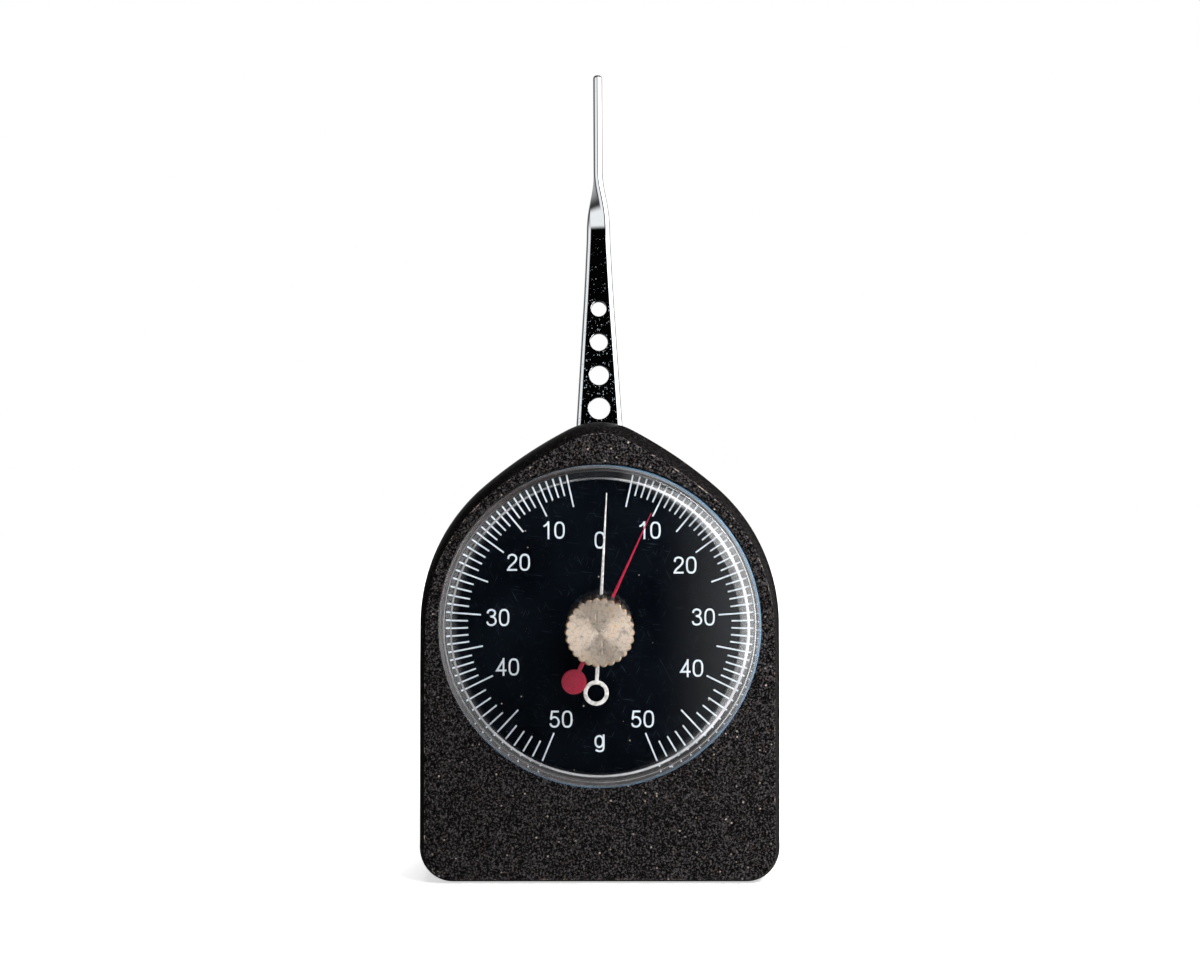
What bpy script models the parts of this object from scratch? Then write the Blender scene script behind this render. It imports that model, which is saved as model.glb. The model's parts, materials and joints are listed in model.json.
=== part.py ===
"""A hand-held dial force gauge, with its movement, in metres.

The base stands on Z = 0, the dial faces -Y, the feeler arm points up, and X = 0 is the middle.
Depths are places along Y. Angles on the dial run clockwise as the reader sees them, which is the
right-hand turn about +Y.
"""

import math

import bmesh
import bpy

mm = 0.001

# Case: a shield, straight at the sides, round at the shoulders, sloping up to a small round cap
body_width = 50.8 * mm
skirt_height = 14.0 * mm
corner_radius = 4.8 * mm
cap_radius = 10.0 * mm
shoulder_turn = math.radians(49.0)
slope_turn = math.radians(62.5)
wall = 1.8 * mm
front_wall = 2.0 * mm
front_rounding = 1.8 * mm
back_rounding = 1.0 * mm
cover_thickness = 2.0 * mm
rim_height = 1.2 * mm
rim_thickness = 1.0 * mm

# Clearances between pieces that touch, and how far a cutter runs past what it cuts
seat_gap = 0.3 * mm
bore_gap = 0.15 * mm
overrun = 1.0 * mm

# Flat sides of a circle: on pins and screws, on bosses and holes, on the seal, on the lens and dial
small_sides = 12
round_sides = 20
seal_sides = 36
fine_sides = 60

# Flat steps along the case's outline: on a corner, a shoulder, a slope and half of the cap
outline_steps = (5, 10, 4, 5)

# Lens: a clear cup with a bevelled rim, on a rubber seal
lens_margin = 3.2 * mm
lens_bevel_width = 1.8 * mm
lens_bevel_drop = 0.8 * mm
lens_plate = 1.4 * mm
lens_wall = 1.0 * mm
lens_inner_fillet = 0.3 * mm
seal_height = 0.4 * mm

# Dial plate, held between the case's front wall and the movement
dial_lap = 1.0 * mm
dial_thickness = 0.5 * mm
dial_hole_radius = 1.2 * mm

# Movement: two plates on pillars; margins are drawn in from the shoulder's arc to a pillar's middle
plate_thickness = 1.0 * mm
plate_window_radius = 4.5 * mm
plate_window_rise = 2.0 * mm
rear_plate_margin = 2.6 * mm
rear_plate_crest = 3.4 * mm
rear_plate_crest_half = 6.0 * mm
rear_plate_corner = 2.0 * mm
rear_window_web = 2.4 * mm
pillar_radius = 1.4 * mm
pillar_spigot_radius = 0.8 * mm
pillar_tap_depth = 2.5 * mm
upper_pillar_margin = 6.8 * mm
upper_pillar_turn = math.radians(50.0)
lower_pillar_side = 9.0 * mm
lower_pillar_drop = 9.2 * mm
post_radius = 1.8 * mm
post_spigot_radius = 1.0 * mm
post_margin = 5.8 * mm
post_turn = math.radians(30.0)

# Screws: head and shank radius, head height, shank length, slot, and the room under a screw's end
cover_head_radius = 1.8 * mm
cover_head_height = 0.9 * mm
cover_shank_radius = 0.8 * mm
cover_shank_length = 5.6 * mm
counterbore_depth = 1.4 * mm
cover_boss_radius = 3.2 * mm
cover_boss_inset = 4.6 * mm
pillar_head_radius = 1.3 * mm
pillar_head_height = 0.6 * mm
pillar_shank_radius = 0.55 * mm
plate_head_radius = 1.5 * mm
plate_head_height = 0.6 * mm
plate_shank_radius = 0.7 * mm
plate_shank_length = 2.9 * mm
plate_boss_radius = 2.2 * mm
plate_boss_inset = 8.9 * mm
plate_boss_rise = 3.6 * mm
plate_foot_gap = 0.6 * mm
tap_clearance = 0.9 * mm
head_clearance = 0.8 * mm
screw_slot_width = 0.4 * mm
slot_depth_share = 0.5

# Feeler arm: a round-edged strip on its arbor, tapered, pierced and twisted a quarter turn
arm_pivot_depth = 12.0 * mm
arm_thickness = 1.3 * mm
arm_pivot_width = 8.2 * mm
arm_upper_width = 4.2 * mm
arm_twist_width = 3.43 * mm
arm_tip_width = 2.7 * mm
arm_taper_length = 31.0 * mm
arm_neck_length = 7.7 * mm
arm_twist_length = 9.7 * mm
arm_tip_length = 14.2 * mm
arm_twist = math.radians(-90.0)
arm_tip_edge_share = 0.25
arm_holes = 4
arm_hole_end = 2.4 * mm
arm_hole_pitch = 4.83 * mm
arm_hole_share = 0.5
arm_swing = math.radians(15.7)
slot_clearance = 0.6 * mm

# Arm arbor, sector gear and the spring that balances the force
arm_arbor_radius = 1.0 * mm
arm_pivot_radius = 0.6 * mm
arm_bush_radius = 1.5 * mm
sector_thickness = 0.8 * mm
sector_hub_radius = 3.6 * mm
sector_rim = 2.2 * mm
sector_spoke = 2.0 * mm
sector_window_inner = 5.6 * mm
rivet_radius = 0.5 * mm
rivet_head_radius = 0.9 * mm
rivet_head_height = 0.3 * mm
rivet_front_clearance = 0.25 * mm
rivet_rear_clearance = 0.35 * mm
collet_radius = 1.9 * mm
spring_ribbon = 0.25 * mm
spring_width = 1.0 * mm
spring_pitch = 0.9 * mm
spring_turns = 4
spring_start = math.radians(200.0)
spring_stud_radius = 0.6 * mm
stop_pin_radius = 0.6 * mm
stop_pin_depth = 5.7 * mm
stop_gap = 0.15 * mm

# Gear pair: the pointer turns ten times as far as the arm
pinion_leaves = 10
gear_ratio = 10
sector_teeth = 13
pressure_angle = math.radians(20.0)
tooth_width_share = 0.4
addendum_share = 0.7
dedendum_share = 1.2
pinion_length = 1.5 * mm

# Pointer arbor and its hairspring
pointer_arbor_radius = 0.8 * mm
pointer_pivot_radius = 0.45 * mm
pointer_bush_radius = 1.2 * mm
hair_collet_radius = 1.4 * mm
hair_ribbon = 0.15 * mm
hair_width = 0.6 * mm
hair_pitch = 0.6 * mm
hair_turns = 3
hair_start = math.radians(20.0)
hair_stud_radius = 0.5 * mm
spring_lift = 0.4 * mm

# Main pointer, with a ring on its tail
hand_thickness = 0.25 * mm
hub_radius = 1.6 * mm
hub_nose_radius = 0.9 * mm
hub_shoulder = 0.65 * mm
hub_nose = 0.6 * mm
hand_boss_radius = 2.0 * mm
hand_tip_width = 0.2 * mm
hand_root_width = 0.52 * mm
main_hand_gap = 3.8 * mm
main_tail_reach = 9.6 * mm
main_ring_radius = 1.77 * mm
main_ring_hole = 1.21 * mm
main_reading = math.radians(3.0)

# Drag pointer, carried with its knob by an arbor in the lens
drag_hand_gap = 5.0 * mm
drag_tail_reach = 8.57 * mm
drag_disc_radius = 1.73 * mm
drag_reading = math.radians(24.6)
drag_arbor_radius = 0.8 * mm
drag_head_radius = 1.4 * mm
drag_head_height = 0.3 * mm
drag_head_gap = 0.35 * mm
lens_bush_radius = 1.6 * mm
lens_bush_flange = 2.4 * mm
lens_bush_flange_height = 0.2 * mm
lens_bush_proud = 0.1 * mm
washer_radius = 2.7 * mm
washer_thickness = 0.15 * mm
washer_dish = 0.15 * mm
knob_radius = 4.65 * mm
knob_height = 4.65 * mm
knob_scallops = 26
knob_scallop_depth = 0.26 * mm
knob_chamfer = 0.25 * mm
knob_crown = 0.15 * mm
knob_recess_radius = 3.0 * mm
knob_recess_depth = 0.6 * mm
knob_bore_depth = 3.2 * mm

# What lies in the case, added up, gives its depth
arm_standoff = spring_lift + spring_width + rivet_front_clearance + rivet_head_height + seat_gap
sector_standoff = seat_gap + rivet_head_height + rivet_rear_clearance
plate_distance = arm_standoff + arm_thickness + seat_gap + sector_thickness + sector_standoff
cover_room = seat_gap + pillar_head_height + head_clearance
dial_seat = front_wall + seat_gap
movement_depth = dial_thickness + seat_gap + plate_thickness + plate_distance + plate_thickness
body_depth = dial_seat + movement_depth + cover_room + cover_thickness

# Depths, worked out from the front of the case backwards
front_face = -body_depth / 2
back_face = body_depth / 2
cover_front = back_face - cover_thickness
case_rear = cover_front - seat_gap
case_inner = front_face + front_wall
dial_front = front_face + dial_seat
dial_back = dial_front + dial_thickness
front_plate_front = dial_back + seat_gap
front_plate_back = front_plate_front + plate_thickness
rear_plate_front = front_plate_back + plate_distance
rear_plate_back = rear_plate_front + plate_thickness
arm_front = front_plate_back + arm_standoff
arm_back = arm_front + arm_thickness
sector_front = arm_back + seat_gap
sector_back = sector_front + sector_thickness
seal_back = dial_front - seat_gap
lens_foot = seal_back - seal_height - seat_gap
hub_back = dial_front - seat_gap
hub_step = hub_back - hub_shoulder
hub_front = hub_step - hub_nose
main_hand_back = hub_step - seat_gap

# From the hub forwards: the drag pointer's pieces, the lens and the knob
drag_head_back = hub_front - drag_head_gap
drag_head_front = drag_head_back - drag_head_height
drag_hand_back = drag_head_front - seat_gap
drag_hand_front = drag_hand_back - hand_thickness
bush_flange_back = drag_hand_front - seat_gap
bush_flange_front = bush_flange_back - lens_bush_flange_height
lens_inner = bush_flange_front - seat_gap
lens_front = lens_inner - lens_plate
knob_back = lens_front - seat_gap
knob_front = knob_back - knob_height

# The case's outline, and the places that follow from it
half_width = body_width / 2
lens_radius = half_width - lens_margin
dial_radius = lens_radius + dial_lap
dial_height = skirt_height + lens_radius
turn_share = math.cos(shoulder_turn) / math.cos(slope_turn)
slope_radius = (half_width * turn_share - cap_radius) / (turn_share - 1)
slope_side = math.cos(shoulder_turn) * (half_width - slope_radius)
slope_height = dial_height + math.sin(shoulder_turn) * (half_width - slope_radius)
cap_height = slope_height + math.sin(slope_turn) * (slope_radius - cap_radius)
case_top = cap_height + cap_radius
plate_inset = wall + seat_gap
front_plate_bottom = cover_boss_inset + cover_boss_radius + plate_foot_gap
plate_boss_side = half_width - plate_boss_inset
plate_boss_height = front_plate_bottom + plate_boss_rise
cover_boss_side = half_width - cover_boss_inset
upper_pillar_side = (half_width - upper_pillar_margin) * math.cos(upper_pillar_turn)
upper_pillar_height = dial_height + (half_width - upper_pillar_margin) * math.sin(upper_pillar_turn)
lower_pillar_height = dial_height - lower_pillar_drop
post_side = (half_width - post_margin) * math.cos(post_turn)
post_height = dial_height + (half_width - post_margin) * math.sin(post_turn)
main_hand_reach = lens_radius - main_hand_gap
drag_hand_reach = lens_radius - drag_hand_gap

# Heights on the arm above its arbor
arm_twist_start = arm_taper_length + arm_neck_length
arm_twist_end = arm_twist_start + arm_twist_length
arm_reach = arm_twist_end + arm_tip_length
arm_pivot_height = case_top - arm_pivot_depth
rivet_side = (arm_arbor_radius + sector_hub_radius) / 2

# Gear sizes that follow from the distance between the two arbors
axis_distance = arm_pivot_height - dial_height
pinion_pitch_radius = axis_distance / (1 + gear_ratio)
sector_pitch_radius = pinion_pitch_radius * gear_ratio
gear_module = 2 * pinion_pitch_radius / pinion_leaves
arm_rest = -main_reading / gear_ratio


def finish(name, colour, metallic, roughness, clear=0.0):
    """Make a material with a Principled BSDF."""
    material = bpy.data.materials.new(name)
    material.use_nodes = True
    shader = material.node_tree.nodes["Principled BSDF"]
    shader.inputs["Base Color"].default_value = (*colour, 1.0)
    shader.inputs["Metallic"].default_value = metallic
    shader.inputs["Roughness"].default_value = roughness
    shader.inputs["Transmission Weight"].default_value = clear
    return material


def add_piece(name, form, material, place=(0.0, 0.0, 0.0)):
    """Turn a bmesh form into a named object with its faces pointing out."""
    bmesh.ops.recalc_face_normals(form, faces=form.faces)
    mesh = bpy.data.meshes.new(name)
    form.to_mesh(mesh)
    form.free()
    mesh.materials.append(material)
    mesh.shade_smooth()
    mesh.set_sharp_from_angle(angle=math.radians(30.0))
    piece = bpy.data.objects.new(name, mesh)
    piece.location = place
    bpy.context.scene.collection.objects.link(piece)
    return piece


def copy_piece(name, source, place):
    """Place another object that shares a piece's mesh."""
    piece = bpy.data.objects.new(name, source.data)
    piece.location = place
    bpy.context.scene.collection.objects.link(piece)
    return piece


def carve(target, tools, operation="DIFFERENCE"):
    """Cut tools out of a piece, or join them to it, and remove the tools."""
    for tool in tools:
        modifier = target.modifiers.new(tool.name, "BOOLEAN")
        modifier.operation = operation
        modifier.solver = "EXACT"
        modifier.object = tool
    graph = bpy.context.evaluated_depsgraph_get()
    result = bpy.data.meshes.new_from_object(target.evaluated_get(graph))
    target.modifiers.clear()
    target.data = result
    target.data.name = target.name
    for tool in tools:
        bpy.data.objects.remove(tool)
    target.data.shade_smooth()
    target.data.set_sharp_from_angle(angle=math.radians(30.0))


def ring_points(radius, steps, centre=(0.0, 0.0)):
    """Points of a circle in X and Z."""
    points = []
    for step in range(steps):
        angle = math.tau * (step + 0.5) / steps
        points.append((centre[0] + radius * math.cos(angle), centre[1] + radius * math.sin(angle)))
    return points


def arc_points(centre, radius, start, end, steps):
    """Points of an arc in X and Z, both ends included."""
    points = []
    for step in range(steps + 1):
        angle = start + (end - start) * step / steps
        points.append((centre[0] + radius * math.cos(angle), centre[1] + radius * math.sin(angle)))
    return points


def loft(rings):
    """Skin a row of equal rings of (x, y, z) points; a ring of one point is a pole."""
    form = bmesh.new()
    rows = [[form.verts.new(point) for point in ring] for ring in rings]
    for before, after in zip(rows, rows[1:]):
        count = max(len(before), len(after))
        for step in range(count):
            following = (step + 1) % count
            if len(before) == 1:
                corners = (before[0], after[step], after[following])
            elif len(after) == 1:
                corners = (before[following], before[step], after[0])
            else:
                corners = (before[following], before[step], after[step], after[following])
            form.faces.new(corners)
    for row in (rows[0], rows[-1]):
        if len(row) > 1:
            form.faces.new(row)
    return form


def flat_ring(points, depth):
    """Points in X and Z, set at a depth."""
    return [(x, depth, z) for x, z in points]


def slab(loops, front, back):
    """Extrude an outline, with any further loops as holes, between two depths."""
    form = bmesh.new()
    edges = []
    for loop in loops:
        corners = [form.verts.new((x, front, z)) for x, z in loop]
        for step, corner in enumerate(corners):
            edges.append(form.edges.new((corner, corners[(step + 1) % len(corners)])))
    bmesh.ops.triangle_fill(form, edges=edges, use_beauty=True)
    grown = bmesh.ops.extrude_face_region(form, geom=form.faces[:])
    moved = [item for item in grown["geom"] if isinstance(item, bmesh.types.BMVert)]
    bmesh.ops.translate(form, verts=moved, vec=(0.0, back - front, 0.0))
    return form


def turned(profile, steps):
    """Turn a profile of (radius, depth) about the Y axis; it starts and ends on the axis, or closes."""
    rings = []
    for radius, depth in profile:
        if radius == 0.0:
            rings.append([(0.0, depth, 0.0)])
        else:
            rings.append(flat_ring(ring_points(radius, steps), depth))
    if len(rings[0]) == 1:
        return loft(rings)
    form = loft(rings + [rings[0]])
    bmesh.ops.delete(form, geom=[face for face in form.faces if len(face.verts) > 4], context="FACES_ONLY")
    bmesh.ops.remove_doubles(form, verts=form.verts, dist=bore_gap / 100)
    return form


def rod(radius, front, back, steps):
    """A plain round bar along Y."""
    return turned([(0.0, front), (radius, front), (radius, back), (0.0, back)], steps)


def bush(bore, radius, front, back, steps):
    """A plain round ring along Y."""
    return turned([(bore, front), (radius, front), (radius, back), (bore, back)], steps)


def box(half_width, front, back, low, high):
    """A block in the middle of X."""
    return slab([[(-half_width, low), (half_width, low), (half_width, high), (-half_width, high)]], front, back)


def body_outline(inset):
    """The case's outline in X and Z, drawn in by an inset: arcs that run into each other."""
    quarter = math.pi / 2
    corner, shoulder, slope, cap = outline_steps
    corner_side = half_width - corner_radius
    right = arc_points((corner_side, corner_radius), corner_radius - inset, -quarter, 0.0, corner)
    right += arc_points((0.0, dial_height), half_width - inset, 0.0, shoulder_turn, shoulder)
    right += arc_points((slope_side, slope_height), slope_radius - inset, shoulder_turn, slope_turn, slope)[1:]
    right += arc_points((0.0, cap_height), cap_radius - inset, slope_turn, quarter, cap)[1:]
    left = [(-x, z) for x, z in reversed(right[:-1])]
    return right + left


def case_form(steps):
    """Skin the case's outline through steps of (inset, depth)."""
    return loft([flat_ring(body_outline(inset), depth) for inset, depth in steps])


def rounding(radius, depth, direction, count):
    """Steps of (inset, depth) round an edge, from the flat face at a depth to the side wall."""
    steps = []
    for step in range(count + 1):
        angle = math.pi / 2 * step / count
        inset = radius * (1 - math.sin(angle))
        steps.append((inset, depth + direction * radius * (1 - math.cos(angle))))
    return steps


def make_housing(material):
    """The case's front half: a rounded shell with the lens's opening, bosses and the arm's slot."""
    steps = rounding(front_rounding, front_face, 1, 4)
    steps += [(0.0, case_rear), (wall, case_rear), (wall, case_inner)]
    housing = add_piece("front_housing", case_form(steps), material)

    opening = rod(lens_radius + seat_gap, front_face - overrun, case_inner + overrun, fine_sides)
    opening = add_piece("opening", opening, material, (0.0, 0.0, dial_height))
    swing = arm_swing - arm_rest
    slot_half = arm_pivot_depth * math.sin(swing) + arm_pivot_width / 2 * math.cos(swing) + slot_clearance
    slot_low = case_top - wall - slot_half
    slot = box(slot_half, arm_front - slot_clearance, arm_back + slot_clearance, slot_low, case_top + overrun)
    slot = add_piece("slot", slot, material)
    carve(housing, [opening, slot])

    root = front_face + front_wall / 2
    cover_boss_top = case_rear - bore_gap
    cover_tap = cover_shank_radius + bore_gap
    cover_tap_floor = cover_screw_seat() - cover_shank_length - tap_clearance
    plate_boss_top = front_plate_front - seat_gap
    plate_tap_floor = front_plate_back + seat_gap - plate_shank_length - bore_gap
    bosses = []
    holes = []
    for side in (-1, 1):
        place = (side * cover_boss_side, 0.0, cover_boss_inset)
        cup = turned([(0.0, root), (cover_boss_radius, root), (cover_boss_radius, cover_boss_top),
                      (cover_tap, cover_boss_top), (cover_tap, cover_tap_floor), (0.0, cover_tap_floor)], round_sides)
        bosses.append(add_piece("boss", cup, material, place))
        place = (side * plate_boss_side, 0.0, plate_boss_height)
        bosses.append(add_piece("boss", rod(plate_boss_radius, root, plate_boss_top, round_sides), material, place))
        tapped = rod(plate_shank_radius + bore_gap, plate_tap_floor, plate_boss_top + overrun, small_sides)
        holes.append(add_piece("tapped", tapped, material, place))
    carve(housing, bosses, "UNION")
    carve(housing, holes)


def cover_screw_seat():
    """Depth of the underside of a cover screw's head."""
    return back_face - counterbore_depth + seat_gap


def cover_screw_places():
    """Two screws go into the case's bosses, two into the movement's posts."""
    places = []
    for side in (-1, 1):
        places.append((side * cover_boss_side, 0.0, cover_boss_inset))
        places.append((side * post_side, 0.0, post_height))
    return places


def make_cover(material):
    """The back cover: a plate with a rounded edge, a locating rim and counterbored screw holes."""
    rim_outer = wall + seat_gap
    rim_inner = rim_outer + rim_thickness
    rim_end = cover_front - rim_height
    steps = [(rim_inner, cover_front), (rim_inner, rim_end), (rim_outer, rim_end), (rim_outer, cover_front)]
    steps += [(0.0, cover_front)]
    steps += reversed(rounding(back_rounding, back_face, -1, 2))
    cover = add_piece("back_cover", case_form(steps), material)
    tools = []
    for place in cover_screw_places():
        through = cover_shank_radius + seat_gap
        floor = back_face - counterbore_depth
        cutter = turned([(0.0, cover_front - overrun), (through, cover_front - overrun), (through, floor),
                         (cover_head_radius + seat_gap, floor),
                         (cover_head_radius + seat_gap, back_face + overrun), (0.0, back_face + overrun)], round_sides)
        tools.append(add_piece("counterbore", cutter, material, place))
    for side in (-1, 1):
        notch = rod(cover_boss_radius + seat_gap, rim_end - overrun, cover_front, round_sides)
        tools.append(add_piece("notch", notch, material, (side * cover_boss_side, 0.0, cover_boss_inset)))
    carve(cover, tools)


def make_screws(name, sizes, seat, direction, places, material):
    """Slotted screws with cylindrical heads; direction is the side that the heads stand on."""
    head_radius, head_height, shank_radius, shank_length = sizes
    top = seat + direction * head_height
    end = seat - direction * shank_length
    tip = end + direction * shank_radius / 2
    profile = [(0.0, end), (shank_radius / 2, end), (shank_radius, tip), (shank_radius, seat),
               (head_radius, seat), (head_radius, top), (0.0, top)]
    screw = add_piece(name + "_1", turned(profile, small_sides), material)
    slot_floor = top - direction * head_height * slot_depth_share
    depths = sorted((slot_floor, top + direction * overrun))
    slot = box(head_radius + overrun, depths[0], depths[1], -screw_slot_width / 2, screw_slot_width / 2)
    carve(screw, [add_piece("slot", slot, material)])
    screw.location = places[0]
    for number, place in enumerate(places[1:], start=2):
        copy_piece(name + "_" + str(number), screw, place)


def make_lens(clear, rubber):
    """The lens, whose rim has a wide bevel, and the seal under its foot."""
    hole = lens_bush_radius + bore_gap
    inner = lens_radius - lens_wall
    profile = [(hole, lens_front), (lens_radius - lens_bevel_width, lens_front),
               (lens_radius, lens_front + lens_bevel_drop), (lens_radius, lens_foot), (inner, lens_foot),
               (inner, lens_inner + lens_inner_fillet), (inner - lens_inner_fillet, lens_inner),
               (hole, lens_inner)]
    place = (0.0, 0.0, dial_height)
    add_piece("lens", turned(profile, fine_sides), clear, place)
    seal = bush(inner, lens_radius, seal_back - seal_height, seal_back, seal_sides)
    add_piece("lens_seal", seal, rubber, place)


def make_dial(material):
    """The dial plate, a disc with a hole for the pointer's arbor."""
    loops = [ring_points(dial_radius, fine_sides), ring_points(dial_hole_radius, round_sides)]
    add_piece("dial_plate", slab(loops, dial_front, dial_back), material, (0.0, 0.0, dial_height))


def pillar_places():
    """Four pillars, outside the sweep of the sector gear."""
    places = []
    for side in (-1, 1):
        places.append((side * upper_pillar_side, 0.0, upper_pillar_height))
        places.append((side * lower_pillar_side, 0.0, lower_pillar_height))
    return places


def stop_pin_places():
    """Two pins that the arm's edges meet just past the ends of its swing."""
    rise = arm_pivot_depth - stop_pin_depth
    reach = arm_width(rise) / 2 + stop_pin_radius + stop_gap
    side = (reach + rise * math.sin(arm_swing)) / math.cos(arm_swing)
    return [(-side, 0.0, arm_pivot_height + rise), (side, 0.0, arm_pivot_height + rise)]


def stud_place(axis_height, start, radius):
    """The place beside a spiral's outer end."""
    return (radius * math.sin(start), 0.0, axis_height + radius * math.cos(start))


def spring_stud_place():
    """The main spring's stud."""
    outer = collet_radius + seat_gap + spring_ribbon + spring_pitch * spring_turns
    return stud_place(arm_pivot_height, spring_start, outer + seat_gap + spring_stud_radius)


def hair_stud_place():
    """The hairspring's stud."""
    outer = hair_collet_radius + seat_gap + hair_ribbon + hair_pitch * hair_turns
    return stud_place(dial_height, hair_start, outer + seat_gap + hair_stud_radius)


def rounded_outline(corners, radius, steps):
    """Round each corner of a convex outline that runs counter-clockwise."""
    points = []
    count = len(corners)
    for number, corner in enumerate(corners):
        before = corners[number - 1]
        after = corners[(number + 1) % count]
        inward = math.atan2(corner[1] - before[1], corner[0] - before[0])
        outward = math.atan2(after[1] - corner[1], after[0] - corner[0])
        turn = (outward - inward) % math.tau
        back = radius * math.tan(turn / 2)
        start = (corner[0] - back * math.cos(inward), corner[1] - back * math.sin(inward))
        centre = (start[0] - radius * math.sin(inward), start[1] + radius * math.cos(inward))
        first = inward - math.pi / 2
        points += arc_points(centre, radius, first, first + turn, steps)
    return points


def hole_at(place, radius, sides=small_sides):
    """A round hole in a plate, centred on a place."""
    return ring_points(radius, sides, (place[0], place[2]))


def make_plates(material):
    """The movement's two plates."""
    arm_axis = (0.0, 0.0, arm_pivot_height)
    pointer_axis = (0.0, 0.0, dial_height)
    side = half_width - plate_inset
    outline = [(-side, front_plate_bottom), (side, front_plate_bottom)]
    outline += [point for point in body_outline(plate_inset) if point[1] > front_plate_bottom]
    holes = [hole_at(arm_axis, arm_bush_radius + bore_gap), hole_at(pointer_axis, pointer_bush_radius + bore_gap)]
    holes += [hole_at(place, pillar_spigot_radius + bore_gap) for place in pillar_places()]
    holes += [hole_at(place, stop_pin_radius + bore_gap) for place in stop_pin_places()]
    holes.append(hole_at(spring_stud_place(), spring_stud_radius + bore_gap))
    holes.append(hole_at(hair_stud_place(), hair_stud_radius + bore_gap))
    for mirror in (-1, 1):
        holes.append(hole_at((mirror * post_side, 0.0, post_height), post_spigot_radius + bore_gap))
        holes.append(hole_at((mirror * plate_boss_side, 0.0, plate_boss_height), plate_shank_radius + bore_gap))
        window = (mirror * side / 2, 0.0, dial_height + plate_window_rise)
        holes.append(hole_at(window, plate_window_radius, round_sides))
    add_piece("front_plate", slab([outline] + holes, front_plate_front, front_plate_back), material)

    foot = (lower_pillar_side + rear_plate_margin, lower_pillar_height - rear_plate_margin)
    shoulder = (upper_pillar_side + rear_plate_margin, upper_pillar_height + rear_plate_margin)
    crest = (rear_plate_crest_half, arm_pivot_height + rear_plate_crest)
    corners = [(-foot[0], foot[1]), foot, shoulder, crest, (-crest[0], crest[1]), (-shoulder[0], shoulder[1])]
    holes = [hole_at(arm_axis, arm_bush_radius + bore_gap), hole_at(pointer_axis, pointer_bush_radius + bore_gap)]
    holes += [hole_at(place, pillar_shank_radius + bore_gap) for place in pillar_places()]
    window = (0.0, 0.0, (arm_pivot_height + dial_height) / 2)
    window_radius = axis_distance / 2 - arm_bush_radius - rear_window_web
    holes.append(hole_at(window, window_radius, round_sides))
    outline = rounded_outline(corners, rear_plate_corner, 4)
    add_piece("rear_plate", slab([outline] + holes, rear_plate_front, rear_plate_back), material)


def make_pillars(material):
    """Pillars between the plates, and the two longer posts that carry the back cover."""
    spigot_end = front_plate_front + bore_gap
    foot = front_plate_back + seat_gap
    head = rear_plate_front - seat_gap
    tap = pillar_shank_radius + bore_gap
    profile = [(0.0, spigot_end), (pillar_spigot_radius, spigot_end), (pillar_spigot_radius, foot),
               (pillar_radius, foot), (pillar_radius, head), (tap, head), (tap, head - pillar_tap_depth),
               (0.0, head - pillar_tap_depth)]
    places = pillar_places()
    pillar = add_piece("pillar_1", turned(profile, small_sides), material, places[0])
    for number, place in enumerate(places[1:], start=2):
        copy_piece("pillar_" + str(number), pillar, place)

    tap = cover_shank_radius + bore_gap
    tap_floor = cover_screw_seat() - cover_shank_length - tap_clearance
    profile = [(0.0, spigot_end), (post_spigot_radius, spigot_end), (post_spigot_radius, foot),
               (post_radius, foot), (post_radius, case_rear), (tap, case_rear), (tap, tap_floor),
               (0.0, tap_floor)]
    post = add_piece("cover_post_1", turned(profile, small_sides), material, (-post_side, 0.0, post_height))
    copy_piece("cover_post_2", post, (post_side, 0.0, post_height))


def make_pins(material):
    """Stop pins and spring studs, pressed into the front plate."""
    end = front_plate_front + bore_gap
    places = stop_pin_places()
    pin = add_piece("stop_pin_1", rod(stop_pin_radius, end, arm_back, small_sides), material, places[0])
    copy_piece("stop_pin_2", pin, places[1])
    spring_back = front_plate_back + spring_lift + spring_width
    add_piece("spring_stud", rod(spring_stud_radius, end, spring_back, small_sides), material, spring_stud_place())
    hair_back = front_plate_back + spring_lift + hair_width
    add_piece("hairspring_stud", rod(hair_stud_radius, end, hair_back, small_sides), material, hair_stud_place())


def make_bushes(material):
    """Bearing bushes for both arbors, one in each plate."""
    depths = {"front": (front_plate_front, front_plate_back), "rear": (rear_plate_front, rear_plate_back)}
    for side, (front, back) in depths.items():
        form = bush(arm_pivot_radius + bore_gap, arm_bush_radius, front, back, small_sides)
        add_piece("arm_bush_" + side, form, material, (0.0, 0.0, arm_pivot_height))
        form = bush(pointer_pivot_radius + bore_gap, pointer_bush_radius, front, back, small_sides)
        add_piece("pointer_bush_" + side, form, material, (0.0, 0.0, dial_height))


def spiral(inner, ribbon, pitch, turns, end_angle, width):
    """A flat spiral ribbon that winds clockwise out to an end angle."""
    steps = 20 * turns
    inside = []
    outside = []
    for step in range(steps + 1):
        share = step / steps
        angle = end_angle - math.tau * turns * (1 - share)
        radius = inner + pitch * turns * share
        inside.append((radius * math.sin(angle), radius * math.cos(angle)))
        outside.append(((radius + ribbon) * math.sin(angle), (radius + ribbon) * math.cos(angle)))
    front = front_plate_back + spring_lift
    rings = []
    for near, far in zip(inside, outside):
        rings.append([(near[0], front, near[1]), (far[0], front, far[1]),
                      (far[0], front + width, far[1]), (near[0], front + width, near[1])])
    return loft(rings)


def make_springs(material):
    """The spiral that balances the force on the arm, and the pointer's hairspring."""
    form = spiral(collet_radius + seat_gap, spring_ribbon, spring_pitch, spring_turns, spring_start, spring_width)
    add_piece("main_spring", form, material, (0.0, 0.0, arm_pivot_height))
    form = spiral(hair_collet_radius + seat_gap, hair_ribbon, hair_pitch, hair_turns, hair_start, hair_width)
    add_piece("hairspring", form, material, (0.0, 0.0, dial_height))


def involute(angle):
    """The involute function."""
    return math.tan(angle) - angle


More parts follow.
